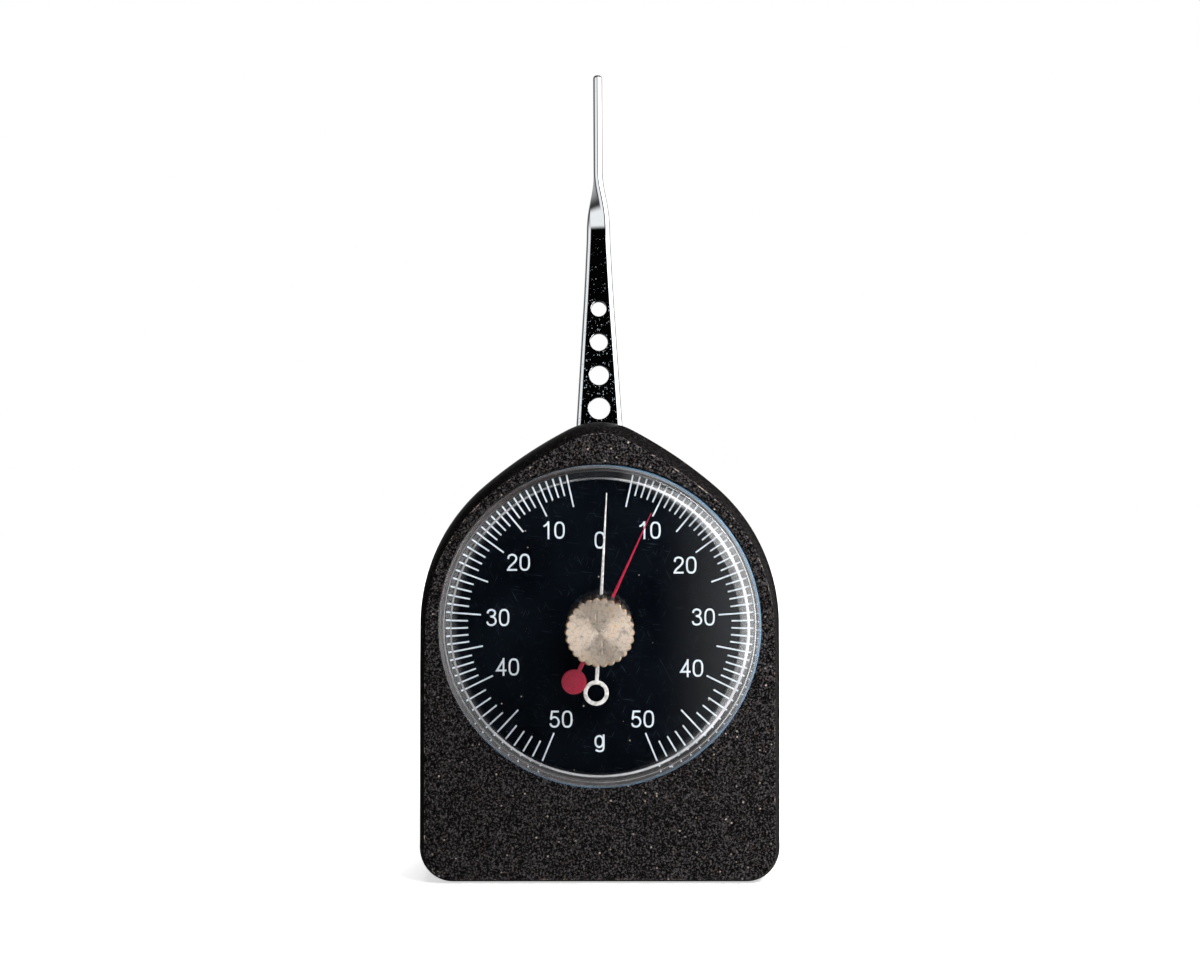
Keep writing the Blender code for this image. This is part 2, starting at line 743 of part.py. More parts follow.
def tooth_half_angle(radius, pitch_radius, teeth):
    """Half of a tooth's angle at a radius; below the base circle its flank is radial."""
    base = pitch_radius * math.cos(pressure_angle)
    opened = math.acos(min(1.0, base / radius))
    return math.pi * tooth_width_share / teeth + involute(pressure_angle) - involute(opened)


def tooth_points(middle, pitch_radius, teeth):
    """One tooth from root to root, its angles measured from straight down, clockwise from behind."""
    root = pitch_radius - gear_module * dedendum_share
    tip = pitch_radius + gear_module * addendum_share
    radii = [root, pitch_radius, tip]
    polar = [(middle - tooth_half_angle(radius, pitch_radius, teeth), radius) for radius in radii]
    polar += [(middle + tooth_half_angle(radius, pitch_radius, teeth), radius) for radius in reversed(radii)]
    return [(radius * math.sin(angle), -radius * math.cos(angle)) for angle, radius in polar]


def sector_outline(teeth):
    """Teeth along the bottom, straight flanks, and a round hub at the top."""
    pitch_angle = math.tau / teeth
    points = []
    for number in range(sector_teeth):
        middle = pitch_angle * (number - (sector_teeth - 1) / 2)
        points += tooth_points(middle, sector_pitch_radius, teeth)
    points += arc_points((0.0, 0.0), sector_hub_radius, 0.0, math.pi, 10)
    return points


def sector_window(teeth):
    """The lightening window between the sector's two spokes and its rim."""
    outer = sector_pitch_radius - gear_module * dedendum_share - sector_rim
    half_fan = math.tau / teeth * sector_teeth / 2
    points = []
    for radius, direction in ((outer, 1), (sector_window_inner, -1)):
        half = half_fan - sector_spoke / radius
        for step in range(7):
            angle = direction * half * (step / 3 - 1)
            points.append((radius * math.sin(angle), -radius * math.cos(angle)))
    return points


def arm_width(rise):
    """Width of the arm at a height above its arbor; below it the end is round."""
    if rise < 0:
        return max(2 * math.sqrt(max(0.0, (arm_pivot_width / 2) ** 2 - rise ** 2)), arm_thickness)
    places = [0.0, arm_taper_length, arm_twist_start, arm_reach]
    widths = [arm_pivot_width, arm_upper_width, arm_twist_width, arm_tip_width]
    for number in range(3):
        if rise <= places[number + 1]:
            share = (rise - places[number]) / (places[number + 1] - places[number])
            return widths[number] + (widths[number + 1] - widths[number]) * share
    return widths[-1]


def arm_section(rise):
    """The arm's section at a height: a strip with full-round edges, turned by the twist."""
    share = min(1.0, max(0.0, (rise - arm_twist_start) / (arm_twist_end - arm_twist_start)))
    turn = arm_twist * share * share * (3 - 2 * share)
    tip_left = (arm_reach - rise) / (arm_thickness / 2)
    shrink = max(arm_tip_edge_share, math.sqrt(max(0.0, 1 - (1 - min(1.0, tip_left)) ** 2)))
    edge = arm_thickness / 2 * shrink
    flat = arm_width(rise) / 2 * (1 - (1 - shrink) / 2) - edge
    middle = (arm_front + arm_back) / 2
    ring = []
    for side in (1, -1):
        for step in range(6):
            angle = side * math.pi / 2 - math.pi * step / 5
            across = side * flat + edge * math.cos(angle)
            through = edge * math.sin(angle)
            ring.append((across * math.cos(turn) - through * math.sin(turn),
                         middle + across * math.sin(turn) + through * math.cos(turn), rise))
    return ring


def arm_stations():
    """Heights at which the arm's section is drawn, closer where its form changes."""
    half = arm_pivot_width / 2
    stations = [-half * math.cos(math.pi * step / 9) for step in range(1, 6)]
    stations.append(arm_taper_length)
    for step in range(15):
        stations.append(arm_twist_start + (arm_twist_end - arm_twist_start) * step / 14)
    edge = arm_thickness / 2
    for step in range(5):
        stations.append(arm_reach - edge * (1 - math.sin(math.pi / 2 * step / 4)))
    return stations


def make_arm_body(chrome, brass, steel):
    """The feeler arm with all that turns with it, drawn about its arbor."""
    arm = add_piece("feeler_arm", loft([arm_section(rise) for rise in arm_stations()]), chrome)
    tools = []
    for number in range(arm_holes):
        rise = arm_taper_length - arm_hole_end - arm_hole_pitch * number
        hole = rod(arm_width(rise) * arm_hole_share / 2, arm_front - overrun, arm_back + overrun, round_sides)
        tools.append(add_piece("hole", hole, chrome, (0.0, 0.0, rise)))
    bore = rod(arm_arbor_radius + bore_gap, arm_front - overrun, arm_back + overrun, small_sides)
    tools.append(add_piece("bore", bore, chrome))
    for side in (-1, 1):
        hole = rod(rivet_radius + bore_gap, arm_front - overrun, arm_back + overrun, small_sides)
        tools.append(add_piece("hole", hole, chrome, (side * rivet_side, 0.0, 0.0)))
    carve(arm, tools)

    front = front_plate_front + bore_gap
    back = rear_plate_back - bore_gap
    shoulder = front_plate_back + seat_gap
    shoulder_back = rear_plate_front - seat_gap
    profile = [(0.0, front), (arm_pivot_radius, front), (arm_pivot_radius, shoulder), (arm_arbor_radius, shoulder),
               (arm_arbor_radius, shoulder_back), (arm_pivot_radius, shoulder_back), (arm_pivot_radius, back),
               (0.0, back)]
    arbor = add_piece("arm_arbor", turned(profile, small_sides), steel)

    teeth = pinion_leaves * gear_ratio
    loops = [sector_outline(teeth), sector_window(teeth), ring_points(arm_arbor_radius + bore_gap, small_sides)]
    for side in (-1, 1):
        loops.append(ring_points(rivet_radius + bore_gap, small_sides, (side * rivet_side, 0.0)))
    sector = add_piece("sector_gear", slab(loops, sector_front, sector_back), brass)

    head_front = arm_front - seat_gap
    head_back = sector_back + seat_gap
    profile = [(0.0, head_front - rivet_head_height), (rivet_radius, head_front - rivet_head_height),
               (rivet_head_radius, head_front), (rivet_radius, head_front), (rivet_radius, head_back),
               (rivet_head_radius, head_back), (rivet_radius, head_back + rivet_head_height),
               (0.0, head_back + rivet_head_height)]
    rivet = add_piece("sector_rivet_1", turned(profile, small_sides), steel, (-rivet_side, 0.0, 0.0))
    second = copy_piece("sector_rivet_2", rivet, (rivet_side, 0.0, 0.0))

    front = front_plate_back + spring_lift
    form = bush(arm_arbor_radius + bore_gap, collet_radius, front, front + spring_width, round_sides)
    collet = add_piece("spring_collet", form, brass)
    return [arm, arbor, sector, rivet, second, collet]


def hand_outline(reach, boss, tail_reach, tail_radius):
    """A pointer: a needle, a round boss and a narrow tail that ends in a disc."""
    stem = hand_root_width / 2
    tip = hand_tip_width / 2
    quarter = math.pi / 2
    blade_angle = math.acos(stem / boss)
    tail_angle = math.acos(stem / tail_radius)
    points = [(tip, reach - tip), (0.0, reach), (-tip, reach - tip)]
    points += arc_points((0.0, 0.0), boss, math.pi - blade_angle, math.pi + blade_angle, 8)
    points += arc_points((0.0, -tail_reach), tail_radius, math.pi - tail_angle, math.tau + tail_angle, round_sides)
    points += arc_points((0.0, 0.0), boss, -blade_angle, blade_angle, 8)
    return points


def make_pointer_body(white, brass, steel):
    """The pointer arbor with its pinion, hub and main pointer, drawn about its own axis."""
    middle = (sector_front + sector_back) / 2
    shoulder = front_plate_back + seat_gap
    shoulder_back = rear_plate_front - seat_gap
    pivot = pointer_pivot_radius
    profile = [(0.0, hub_front), (pivot, hub_front), (pivot, shoulder), (pointer_arbor_radius, shoulder),
               (pointer_arbor_radius, shoulder_back), (pivot, shoulder_back),
               (pivot, rear_plate_back - bore_gap), (0.0, rear_plate_back - bore_gap)]
    arbor = add_piece("pointer_pinion", turned(profile, small_sides), steel)
    outline = []
    for number in range(pinion_leaves):
        leaf = math.pi + math.tau * (number + 0.5) / pinion_leaves
        outline += tooth_points(leaf, pinion_pitch_radius, pinion_leaves)
    leaves = add_piece("leaves", slab([outline], middle - pinion_length / 2, middle + pinion_length / 2), steel)
    carve(arbor, [leaves], "UNION")

    bore = pivot + bore_gap
    profile = [(bore, hub_back), (hub_radius, hub_back), (hub_radius, hub_step), (hub_nose_radius, hub_step),
               (hub_nose_radius, hub_front), (bore, hub_front)]
    hub = add_piece("pointer_hub", turned(profile, round_sides), brass)

    outline = hand_outline(main_hand_reach, hand_boss_radius, main_tail_reach, main_ring_radius)
    loops = [outline, ring_points(hub_nose_radius + bore_gap, round_sides),
             ring_points(main_ring_hole, round_sides, (0.0, -main_tail_reach))]
    hand = add_piece("main_pointer", slab(loops, main_hand_back - hand_thickness, main_hand_back), white)

    front = front_plate_back + spring_lift
    form = bush(pointer_arbor_radius + bore_gap, hair_collet_radius, front, front + hair_width, small_sides)
    collet = add_piece("hairspring_collet", form, brass)
    return [arbor, hub, hand, collet]


def knob_ring(radius, depth):
    """The knob's scalloped edge: round lobes with narrow valleys between them."""
    ring = []
    steps = knob_scallops * 4
    for step in range(steps):
        angle = math.tau * step / steps
        lobe = radius - knob_scallop_depth * (1 - abs(math.sin(knob_scallops / 2 * angle)))
        ring.append((lobe * math.cos(angle), depth, lobe * math.sin(angle)))
    return ring


def make_drag_body(red, brass, steel, nickel):
    """The drag pointer, its arbor and the knob that resets it, drawn about their own axis."""
    arbor_front = knob_back - knob_bore_depth + seat_gap
    profile = [(0.0, arbor_front), (drag_arbor_radius, arbor_front), (drag_arbor_radius, drag_head_front),
               (drag_head_radius, drag_head_front), (drag_head_radius, drag_head_back), (0.0, drag_head_back)]
    arbor = add_piece("drag_arbor", turned(profile, small_sides), steel)

    loops = [hand_outline(drag_hand_reach, hand_boss_radius, drag_tail_reach, drag_disc_radius),
             ring_points(drag_arbor_radius + bore_gap, round_sides)]
    hand = add_piece("drag_pointer", slab(loops, drag_hand_front, drag_hand_back), red)

    bore = drag_arbor_radius + bore_gap
    floor = knob_back - knob_recess_depth + seat_gap
    profile = [(bore, floor), (bore, floor + washer_thickness),
               (washer_radius, floor + washer_thickness + washer_dish), (washer_radius, floor + washer_dish)]
    washer = add_piece("friction_washer", turned(profile, round_sides), steel)

    rings = [knob_ring(knob_radius, knob_back), knob_ring(knob_radius, knob_front + knob_chamfer),
             knob_ring(knob_radius - knob_chamfer, knob_front), [(0.0, knob_front - knob_crown, 0.0)]]
    knob = add_piece("reset_knob", loft(rings), nickel)
    profile = [(0.0, knob_back - knob_bore_depth), (bore, knob_back - knob_bore_depth),
               (bore, knob_back - knob_recess_depth), (knob_recess_radius, knob_back - knob_recess_depth),
               (knob_recess_radius, knob_back + overrun), (0.0, knob_back + overrun)]
    carve(knob, [add_piece("recess", turned(profile, round_sides), nickel)])
    return [arbor, hand, washer, knob]


def make_lens_bush(material):
    """The bush that carries the drag arbor in the lens."""
    bore = drag_arbor_radius + bore_gap
    front = lens_front - lens_bush_proud
    profile = [(bore, front), (lens_bush_radius, front), (lens_bush_radius, bush_flange_front),
               (lens_bush_flange, bush_flange_front), (lens_bush_flange, bush_flange_back),
               (bore, bush_flange_back)]
    add_piece("lens_bush", turned(profile, round_sides), material, (0.0, 0.0, dial_height))


def set_on_axis(name, pieces, height, turn):
    """Hang pieces on an empty at their joint's axis, turned to where they stand at rest."""
    axis = bpy.data.objects.new(name, None)
    bpy.context.scene.collection.objects.link(axis)
    axis.location = (0.0, 0.0, height)
    axis.rotation_euler = (0.0, turn, 0.0)
    for piece in pieces:
        piece.parent = axis


def build():
    """Clear the scene and make every piece."""
    for item in list(bpy.data.objects):
        bpy.data.objects.remove(item)
    black = finish("black wrinkle paint", (0.012, 0.011, 0.011), 0.0, 0.6)
    clear = finish("clear acrylic", (1.0, 1.0, 1.0), 0.0, 0.05, 1.0)
    rubber = finish("black rubber", (0.02, 0.018, 0.016), 0.0, 0.8)
    dial_black = finish("satin black print", (0.002, 0.004, 0.006), 0.0, 0.45)
    white = finish("white enamel", (0.68, 0.66, 0.62), 0.0, 0.4)
    red = finish("red enamel", (0.4, 0.015, 0.045), 0.0, 0.4)
    chrome = finish("chromium plate", (0.75, 0.76, 0.78), 1.0, 0.08)
    nickel = finish("worn nickel on brass", (0.47, 0.38, 0.29), 1.0, 0.35)
    brass = finish("turned brass", (0.55, 0.4, 0.15), 1.0, 0.3)
    steel = finish("ground steel", (0.5, 0.5, 0.5), 1.0, 0.3)

    make_housing(black)
    make_cover(black)
    make_lens(clear, rubber)
    make_lens_bush(brass)
    make_dial(dial_black)
    make_plates(brass)
    make_pillars(brass)
    make_pins(steel)
    make_bushes(brass)
    make_springs(steel)
    make_screws("cover_screw", (cover_head_radius, cover_head_height, cover_shank_radius, cover_shank_length),
                cover_screw_seat(), 1, cover_screw_places(), steel)
    pillar_seat = rear_plate_back + seat_gap
    pillar_shank_length = pillar_seat - (rear_plate_front - seat_gap - pillar_tap_depth) - tap_clearance
    make_screws("pillar_screw", (pillar_head_radius, pillar_head_height, pillar_shank_radius, pillar_shank_length),
                pillar_seat, 1, pillar_places(), steel)
    plate_screw_places = [(side * plate_boss_side, 0.0, plate_boss_height) for side in (-1, 1)]
    make_screws("plate_screw", (plate_head_radius, plate_head_height, plate_shank_radius, plate_shank_length),
                front_plate_back + seat_gap, 1, plate_screw_places, steel)

    set_on_axis("arm_axis", make_arm_body(chrome, brass, steel), arm_pivot_height, arm_rest)
    set_on_axis("pointer_axis", make_pointer_body(white, brass, steel), dial_height, main_reading)
    set_on_axis("drag_axis", make_drag_body(red, brass, steel, nickel), dial_height, drag_reading)


build()
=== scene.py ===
import json
import math

import bmesh
import bpy
import numpy as np
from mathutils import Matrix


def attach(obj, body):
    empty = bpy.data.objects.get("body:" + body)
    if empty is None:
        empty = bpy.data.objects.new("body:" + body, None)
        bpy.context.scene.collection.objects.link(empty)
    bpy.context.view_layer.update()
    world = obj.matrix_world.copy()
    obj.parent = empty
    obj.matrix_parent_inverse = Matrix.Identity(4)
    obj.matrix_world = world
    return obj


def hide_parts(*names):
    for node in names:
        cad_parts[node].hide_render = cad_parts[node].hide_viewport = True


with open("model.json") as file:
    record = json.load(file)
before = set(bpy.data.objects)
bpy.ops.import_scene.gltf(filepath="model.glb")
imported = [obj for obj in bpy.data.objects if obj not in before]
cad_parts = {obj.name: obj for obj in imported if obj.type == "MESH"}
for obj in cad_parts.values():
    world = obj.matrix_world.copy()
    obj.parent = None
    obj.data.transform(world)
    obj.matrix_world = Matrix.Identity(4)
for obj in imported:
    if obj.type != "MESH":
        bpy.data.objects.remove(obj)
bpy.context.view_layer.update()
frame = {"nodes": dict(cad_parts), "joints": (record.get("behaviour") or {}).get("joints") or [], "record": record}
scene = bpy.context.scene
scene.view_settings.view_transform = "Standard"

# Lengths are in millimetres, and depths count back from the case's front face; makeObject makes them metres
millimetre = 0.001
frontFace = -7.2
axes = {joint["child"]: joint["pos_m"][2] / millimetre for joint in frame["joints"]}
dialHeight = axes["pointer"]
armHeight = axes["arm"]
readings = {"arm": -0.3, "pointer": 3.0, "drag": 24.6}  # degrees clockwise from straight up, at rest
beside = 0.03  # a row of points stands this far beside a rounding, to keep the flat next to it flat


def roundCorners(corners, radii, steps=6, closed=True, support=0.02):
    # Each corner gives way to a circular arc that touches both its sides: a rational quadratic curve with
    # the corner as its middle point, weighted by the cosine of half the turn. A support point stands beside
    # each end.
    corners = np.asarray(corners, float)
    before = np.roll(corners, 1, axis=0) - corners
    after = np.roll(corners, -1, axis=0) - corners
    before /= np.linalg.norm(before, axis=1, keepdims=True)
    after /= np.linalg.norm(after, axis=1, keepdims=True)
    halfTurn = (np.pi - np.arccos(np.clip((before * after).sum(1), -1, 1))) / 2
    reach = (np.asarray(radii, float) * np.tan(halfTurn))[:, None]
    start, end = corners + before * reach, corners + after * reach
    share = np.linspace(0, 1, steps + 1)[None, :, None]
    weight = np.cos(halfTurn)[:, None, None]
    low, middle, high = (1 - share) ** 2, 2 * weight * share * (1 - share), share ** 2
    arcs = (low * start[:, None] + middle * corners[:, None] + high * end[:, None]) / (low + middle + high)
    arcs = np.concatenate([(start + before * support)[:, None], arcs, (end + after * support)[:, None]], 1)
    if closed:
        return arcs.reshape(-1, 2)
    return np.concatenate([corners[:1], arcs[1:-1].reshape(-1, 2), corners[-1:]])


def rectangle(left, right, front, back):
    # The corners of a rectangle, in order round it
    return [(left, front), (right, front), (right, back), (left, back)]


def quarter(count):
    # A quarter round in steps, as shares of its radius: how far out, 1 - cos, and how far up still, 1 - sin
    turn = np.linspace(0, np.pi / 2, count)
    return np.stack([1 - np.cos(turn), 1 - np.sin(turn)], axis=1)


def atDepth(flat, depth):
    # Flat points, across and up, are set at a depth
    flat = np.asarray(flat, float)
    return np.stack([flat[..., 0], np.broadcast_to(depth, flat.shape[:-1]), flat[..., 1]], axis=-1)


def turned(profile, count=180, centre=(0, 0), angles=None):
    # A profile of (radius, depth) carried round Y: x = radius * sin(angle), z = radius * cos(angle)
    if angles is None:
        angles = np.linspace(0, 2 * np.pi, count, endpoint=False)
    radius, depth = np.asarray(profile, float).T[..., None]
    way = np.stack([np.sin(angles), np.cos(angles)], axis=1)
    return atDepth(centre + radius[..., None] * way, depth)


def capped(grid, first=None, last=None):
    # A tube's ends are closed in a point: a row that is all the end row's middle, or else a given point
    first = grid[0].mean(axis=0) if first is None else first
    last = grid[-1].mean(axis=0) if last is None else last
    ends = [np.broadcast_to(end, grid[:1].shape) for end in (first, last)]
    return np.concatenate([ends[0], grid, ends[1]])


def skin(grid, closedRows=False):
    # Each cell between neighbouring rows and columns becomes one four-sided face; the columns close
    rows, columns = grid.shape[:2]
    row, column = np.meshgrid(np.arange(rows if closedRows else rows - 1), np.arange(columns), indexing="ij")
    nextRow, nextColumn = (row + 1) % rows, (column + 1) % columns
    faces = np.stack([row * columns + column, row * columns + nextColumn,
                      nextRow * columns + nextColumn, nextRow * columns + column], axis=-1)
    return grid.reshape(-1, 3), faces.reshape(-1, 4)


def makeObject(name, parts, height=0.0, turn=0.0, sharp=None, aside=0.0, wear=None):
    # Closed surfaces become one object at the origin: turned clockwise about Y, moved to their axis, in
    # metres. Wear, from -1 to 1 at each point, is kept as an attribute that a material may read; it also
    # says where painted highlights, a painted reflection and a painted colour fringe go
    starts = np.cumsum([0] + [len(points) for points, _ in parts])
    points = np.concatenate([points for points, _ in parts])
    faces = np.concatenate([faces + start for start, (_, faces) in zip(starts, parts)])
    angle = math.radians(turn)
    across, depth, up = points.T
    points = np.stack([across * math.cos(angle) + up * math.sin(angle) + aside, depth + frontFace,
                       up * math.cos(angle) - across * math.sin(angle) + height], axis=-1)
    mesh = bpy.data.meshes.new(name)
    mesh.from_pydata((points * millimetre).tolist(), [], faces.tolist())
    if wear is not None:
        mesh.attributes.new("wear", "FLOAT", "POINT").data.foreach_set("value", np.ravel(wear))
    form = bmesh.new()
    form.from_mesh(mesh)
    bmesh.ops.remove_doubles(form, verts=form.verts, dist=1e-7)
    bmesh.ops.recalc_face_normals(form, faces=form.faces)
    form.to_mesh(mesh)
    form.free()
    smooth(mesh, sharp)
    made = bpy.data.objects.new(name, mesh)
    scene.collection.objects.link(made)
    return made


def smooth(mesh, sharp):
    # Shade smoothly, with an edge kept where the faces turn by more than an angle
    mesh.shade_smooth()
    if sharp:
        mesh.set_sharp_from_angle(angle=math.radians(sharp))


def bar(ring, low, high, **place):
    # A cutting tool: a ring of (across, depth) points carried up between two heights
    grid = np.stack([np.insert(ring, 2, level, axis=1) for level in (low, high)])
    return makeObject("bar", [skin(capped(grid))], **place)


def carve(target, tools, operation="DIFFERENCE", sharp=30):
    # Cut the tools out of the target, or join them to it, and take them away
    for tool in tools:
        modifier = target.modifiers.new(tool.name, "BOOLEAN")
        modifier.operation = operation
        modifier.solver = "EXACT"
        modifier.object = tool
    mesh = bpy.data.meshes.new_from_object(target.evaluated_get(bpy.context.evaluated_depsgraph_get()))
    target.modifiers.clear()
    target.data = mesh
    mesh.name = target.name
    for tool in tools:
        bpy.data.objects.remove(tool)
    smooth(mesh, sharp)


def fit(piece, material, body, slot, *replaced):
    # Give a piece its material and its body, and hide the nodes that it stands for.
    # The slot is not used
    piece.data.materials.clear()
    piece.data.materials.append(material)
    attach(piece, body)
    if replaced:
        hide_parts(*replaced)
    print("made", piece.name, len(piece.data.polygons), "faces")
    return piece


def colour(code):
    # An sRGB hex value turned to linear red, green and blue
    parts = [int(code[start:start + 2], 16) / 255 for start in (1, 3, 5)]
    parts = [part / 12.92 if part <= 0.04045 else ((part + 0.055) / 1.055) ** 2.4 for part in parts]
    return (*parts, 1.0)


def addNode(tree, kind, settings):
    # Add a node and return its outputs. A setting goes to the node's own property or else to its input, a
    # socket is linked to its input, and a group of inputs takes a group of values. By number, a Map Range's
    # inputs are its value (0), the ends that it comes from (1, 2) and the ends that it goes to (3, 4), and
    # a Mix's are its share (0) and its colours (6, 7)
    node = tree.nodes.new("ShaderNode" + kind)
    for keys, values in settings.items():
        for key, value in zip(keys, values) if isinstance(keys, tuple) else [(keys, values)]:
            if isinstance(value, bpy.types.NodeSocket):
                tree.links.new(value, node.inputs[key])
            elif isinstance(key, str) and hasattr(node, key):
                setattr(node, key, value)
            else:
                node.inputs[key].default_value = value
    return node.outputs


def startMaterial(name):
    # A material without nodes but for its Object coordinates; returns it, its tree and those
    material = bpy.data.materials.new(name)
    material.use_nodes = True
    material.node_tree.nodes.clear()
    return material, material.node_tree, addNode(material.node_tree, "TexCoord", {})["Object"]


def endMaterial(material, settings):
    # The Principled shader takes what the nodes before it give, and goes to the output
    shader = addNode(material.node_tree, "BsdfPrincipled", settings)[0]
    addNode(material.node_tree, "OutputMaterial", {"Surface": shader})
    return material


def perMillimetre(size):
    # A texture scale whose pattern repeats about once in a size given in millimetres
    return 1 / (size * millimetre)


def addSpecks(tree, place, spacing, near, kept):
    # Specks, one to a cell: each comes in between two distances from its cell's middle, as strongly as the
    # cell's own random number says
    distance, pick = addNode(tree, "TexVoronoi", {"Vector": place, "Scale": perMillimetre(spacing)})[:2]
    close = addNode(tree, "MapRange", {0: distance, (1, 2): near})[0]
    pick = addNode(tree, "SeparateColor", {0: pick})[0]
    chosen = addNode(tree, "MapRange", {0: pick, (1, 2, 4): kept})[0]
    return addNode(tree, "Math", {"operation": "MULTIPLY", (0, 1): (close, chosen)})[0]


def layCoats(tree, face, finish, *coats):
    # Each coat, a colour of the finish, covers what lies below it by its share
    for share, coat in coats:
        face = addNode(tree, "Mix", {"data_type": "RGBA", 0: share, 6: face, 7: colour(finish[coat])})[2]
    return face


# Black wrinkle paint, sprayed and baked on cast metal: a grain of small dull grey and brown lumps with
# black pits between them, a few pale specks of dust, and a smooth edge. The pale line along the crease
# round the face is partly rubbed paint and partly a painted highlight of the edge. The grain is drawn
# about twice as coarse as it is. In each finish, a share's first two numbers say where it starts and
# ends, and the rest its levels there, or one of them where the other is 0 or 1; a pair of roughnesses
# is its two levels
paint = {"pit": "#000000", "grain": "#565254", "grainSize": 0.26, "lump": (0.42, 0.82), "relief": 0.04,
         "brown": "#614d3b", "patchSize": 1.4, "browned": (0.52, 0.7, 0.6), "edge": "#c0b4aa",
         "bare": (0.54, 0.66),
         "dust": "#c4b6a8", "dustSpacing": 0.8, "speck": (0.2, 0.1), "kept": (0.75, 1.0, 0.8),
         "rim": "#070606", "rimmed": (0.0, -1.0, 0.8), "roughness": (0.55, 0.3), "specular": 0.03}


def makeWrinklePaint():
    material, tree, place = startMaterial("black wrinkle paint")
    grain = addNode(tree, "TexNoise", {"Vector": place, "Scale": perMillimetre(paint["grainSize"]),
                                       "Detail": 2.0, "Roughness": 0.6})[0]
    lump = addNode(tree, "MapRange", {"interpolation_type": "SMOOTHSTEP", 0: grain, (1, 2): paint["lump"]})[0]
    bump = addNode(tree, "Bump", {"Distance": paint["relief"] * millimetre, "Height": grain})[0]
    patches = addNode(tree, "TexNoise", {"Vector": place, "Scale": perMillimetre(paint["patchSize"]),
                                         "Detail": 4.0, "Roughness": 0.8})[0]
    browned = addNode(tree, "MapRange", {0: patches, (1, 2, 4): paint["browned"]})[0]
    dust = addSpecks(tree, place, paint["dustSpacing"], paint["speck"], paint["kept"])
    # Wear below nothing marks the smooth edge; above it, the crease at the rim of the face is pale in
    # patches: rubbed paint and a painted highlight of the edge
    wear = addNode(tree, "Attribute", {"attribute_name": "wear"})["Fac"]
    rim = addNode(tree, "MapRange", {0: wear, (1, 2, 4): paint["rimmed"]})[0]
    bare = addNode(tree, "MapRange", {0: patches, (1, 2): paint["bare"]})[0]
    rubAndPaintedLight = addNode(tree, "Math", {"operation": "MULTIPLY", "use_clamp": True, (0, 1): (wear, bare)})[0]
    top = layCoats(tree, colour(paint["grain"]), paint, (browned, "brown"))
    face = addNode(tree, "Mix", {"data_type": "RGBA", 0: lump, 6: colour(paint["pit"]), 7: top})[2]
    face = layCoats(tree, face, paint, (dust, "dust"), (rim, "rim"), (rubAndPaintedLight, "edge"))
    rough = addNode(tree, "MapRange", {0: rim, (3, 4): paint["roughness"]})[0]
    return endMaterial(material, {"Base Color": face, "Roughness": rough, "Normal": bump,
                                  "Specular IOR Level": paint["specular"]})


# Clear acrylic, moulded and polished by its mould: sharp reflections, faint handling marks, scuffed where
# it is worn. Its pale scuffed places also carry painted highlights and a painted reflection, and its rim
# a painted blue fringe of split light
acrylic = {"clear": "#fbfdff", "scuffAndHighlight": "#dcdae4", "rim": "#5a8cb0", "ior": 1.49, "patchSize": 4.0,
           "bare": (0.35, 0.6, 0.6), "rimStrength": 2.5, "smudgeSize": 5.0, "smudge": (0.5, 0.8, 0.004, 0.02)}


def makeAcrylic():
    material, tree, place = startMaterial("clear acrylic")
    wear = addNode(tree, "Attribute", {"attribute_name": "wear"})["Fac"]
    patches = addNode(tree, "TexNoise", {"Vector": place, "Scale": perMillimetre(acrylic["patchSize"]),
                                         "Detail": 3.0})[0]
    bare = addNode(tree, "MapRange", {0: patches, (1, 2, 3): acrylic["bare"]})[0]
    much = addNode(tree, "Math", {"operation": "ABSOLUTE", 0: wear})[0]
    rubAndPaintedLight = addNode(tree, "Math", {"operation": "MULTIPLY", (0, 1): (much, bare)})[0]
    # Wear below nothing marks the outer rim, painted blue: a painted colour fringe of the light that it
    # splits
    outer = addNode(tree, "Math", {"operation": "LESS_THAN", (0, 1): (wear, 0.0)})[0]
    fringe = addNode(tree, "Math", {"operation": "MULTIPLY", (0, 1): (outer, much)})[0]
    scuffAndPaintedLight = addNode(tree, "Math", {"operation": "MULTIPLY_ADD", "use_clamp": True,
                                   (0, 1, 2): (fringe, acrylic["rimStrength"], rubAndPaintedLight)})[0]
    scuffAndHighlight = layCoats(tree, colour(acrylic["scuffAndHighlight"]), acrylic, (outer, "rim"))
    face = addNode(tree, "Mix", {"data_type": "RGBA", 0: scuffAndPaintedLight, 6: colour(acrylic["clear"]), 7: scuffAndHighlight})[2]
    through = addNode(tree, "Math", {"operation": "SUBTRACT", (0, 1): (1.0, rubAndPaintedLight)})[0]
    smudges = addNode(tree, "TexNoise", {"Vector": place, "Scale": perMillimetre(acrylic["smudgeSize"]),
                                         "Detail": 4.0})[0]
    rough = addNode(tree, "MapRange", {0: smudges, (1, 2, 3, 4): acrylic["smudge"]})[0]
    return endMaterial(material, {"Base Color": face, "Transmission Weight": through, "Roughness": rough,
                                  "IOR": acrylic["ior"]})


# Blue-black print on sheet aluminium: satin, with hairline scratches in three directions and specks of dust
dialPrint = {"ground": "#020408", "cloud": "#080d13", "cloudSize": 9.0, "clouded": (0.35, 0.7),
             "scratch": "#3c4650", "tilts": (24.0, 97.0, 151.0), "width": 0.16, "length": 2.6,
             "scratched": (0.68, 0.8, 0.45), "dust": "#c2b4a2", "dustSpacing": 2.4, "speck": (0.05, 0.025),
             "kept": (-1.0, 0.0, 1.0), "roughness": 0.42, "specular": 0.02}


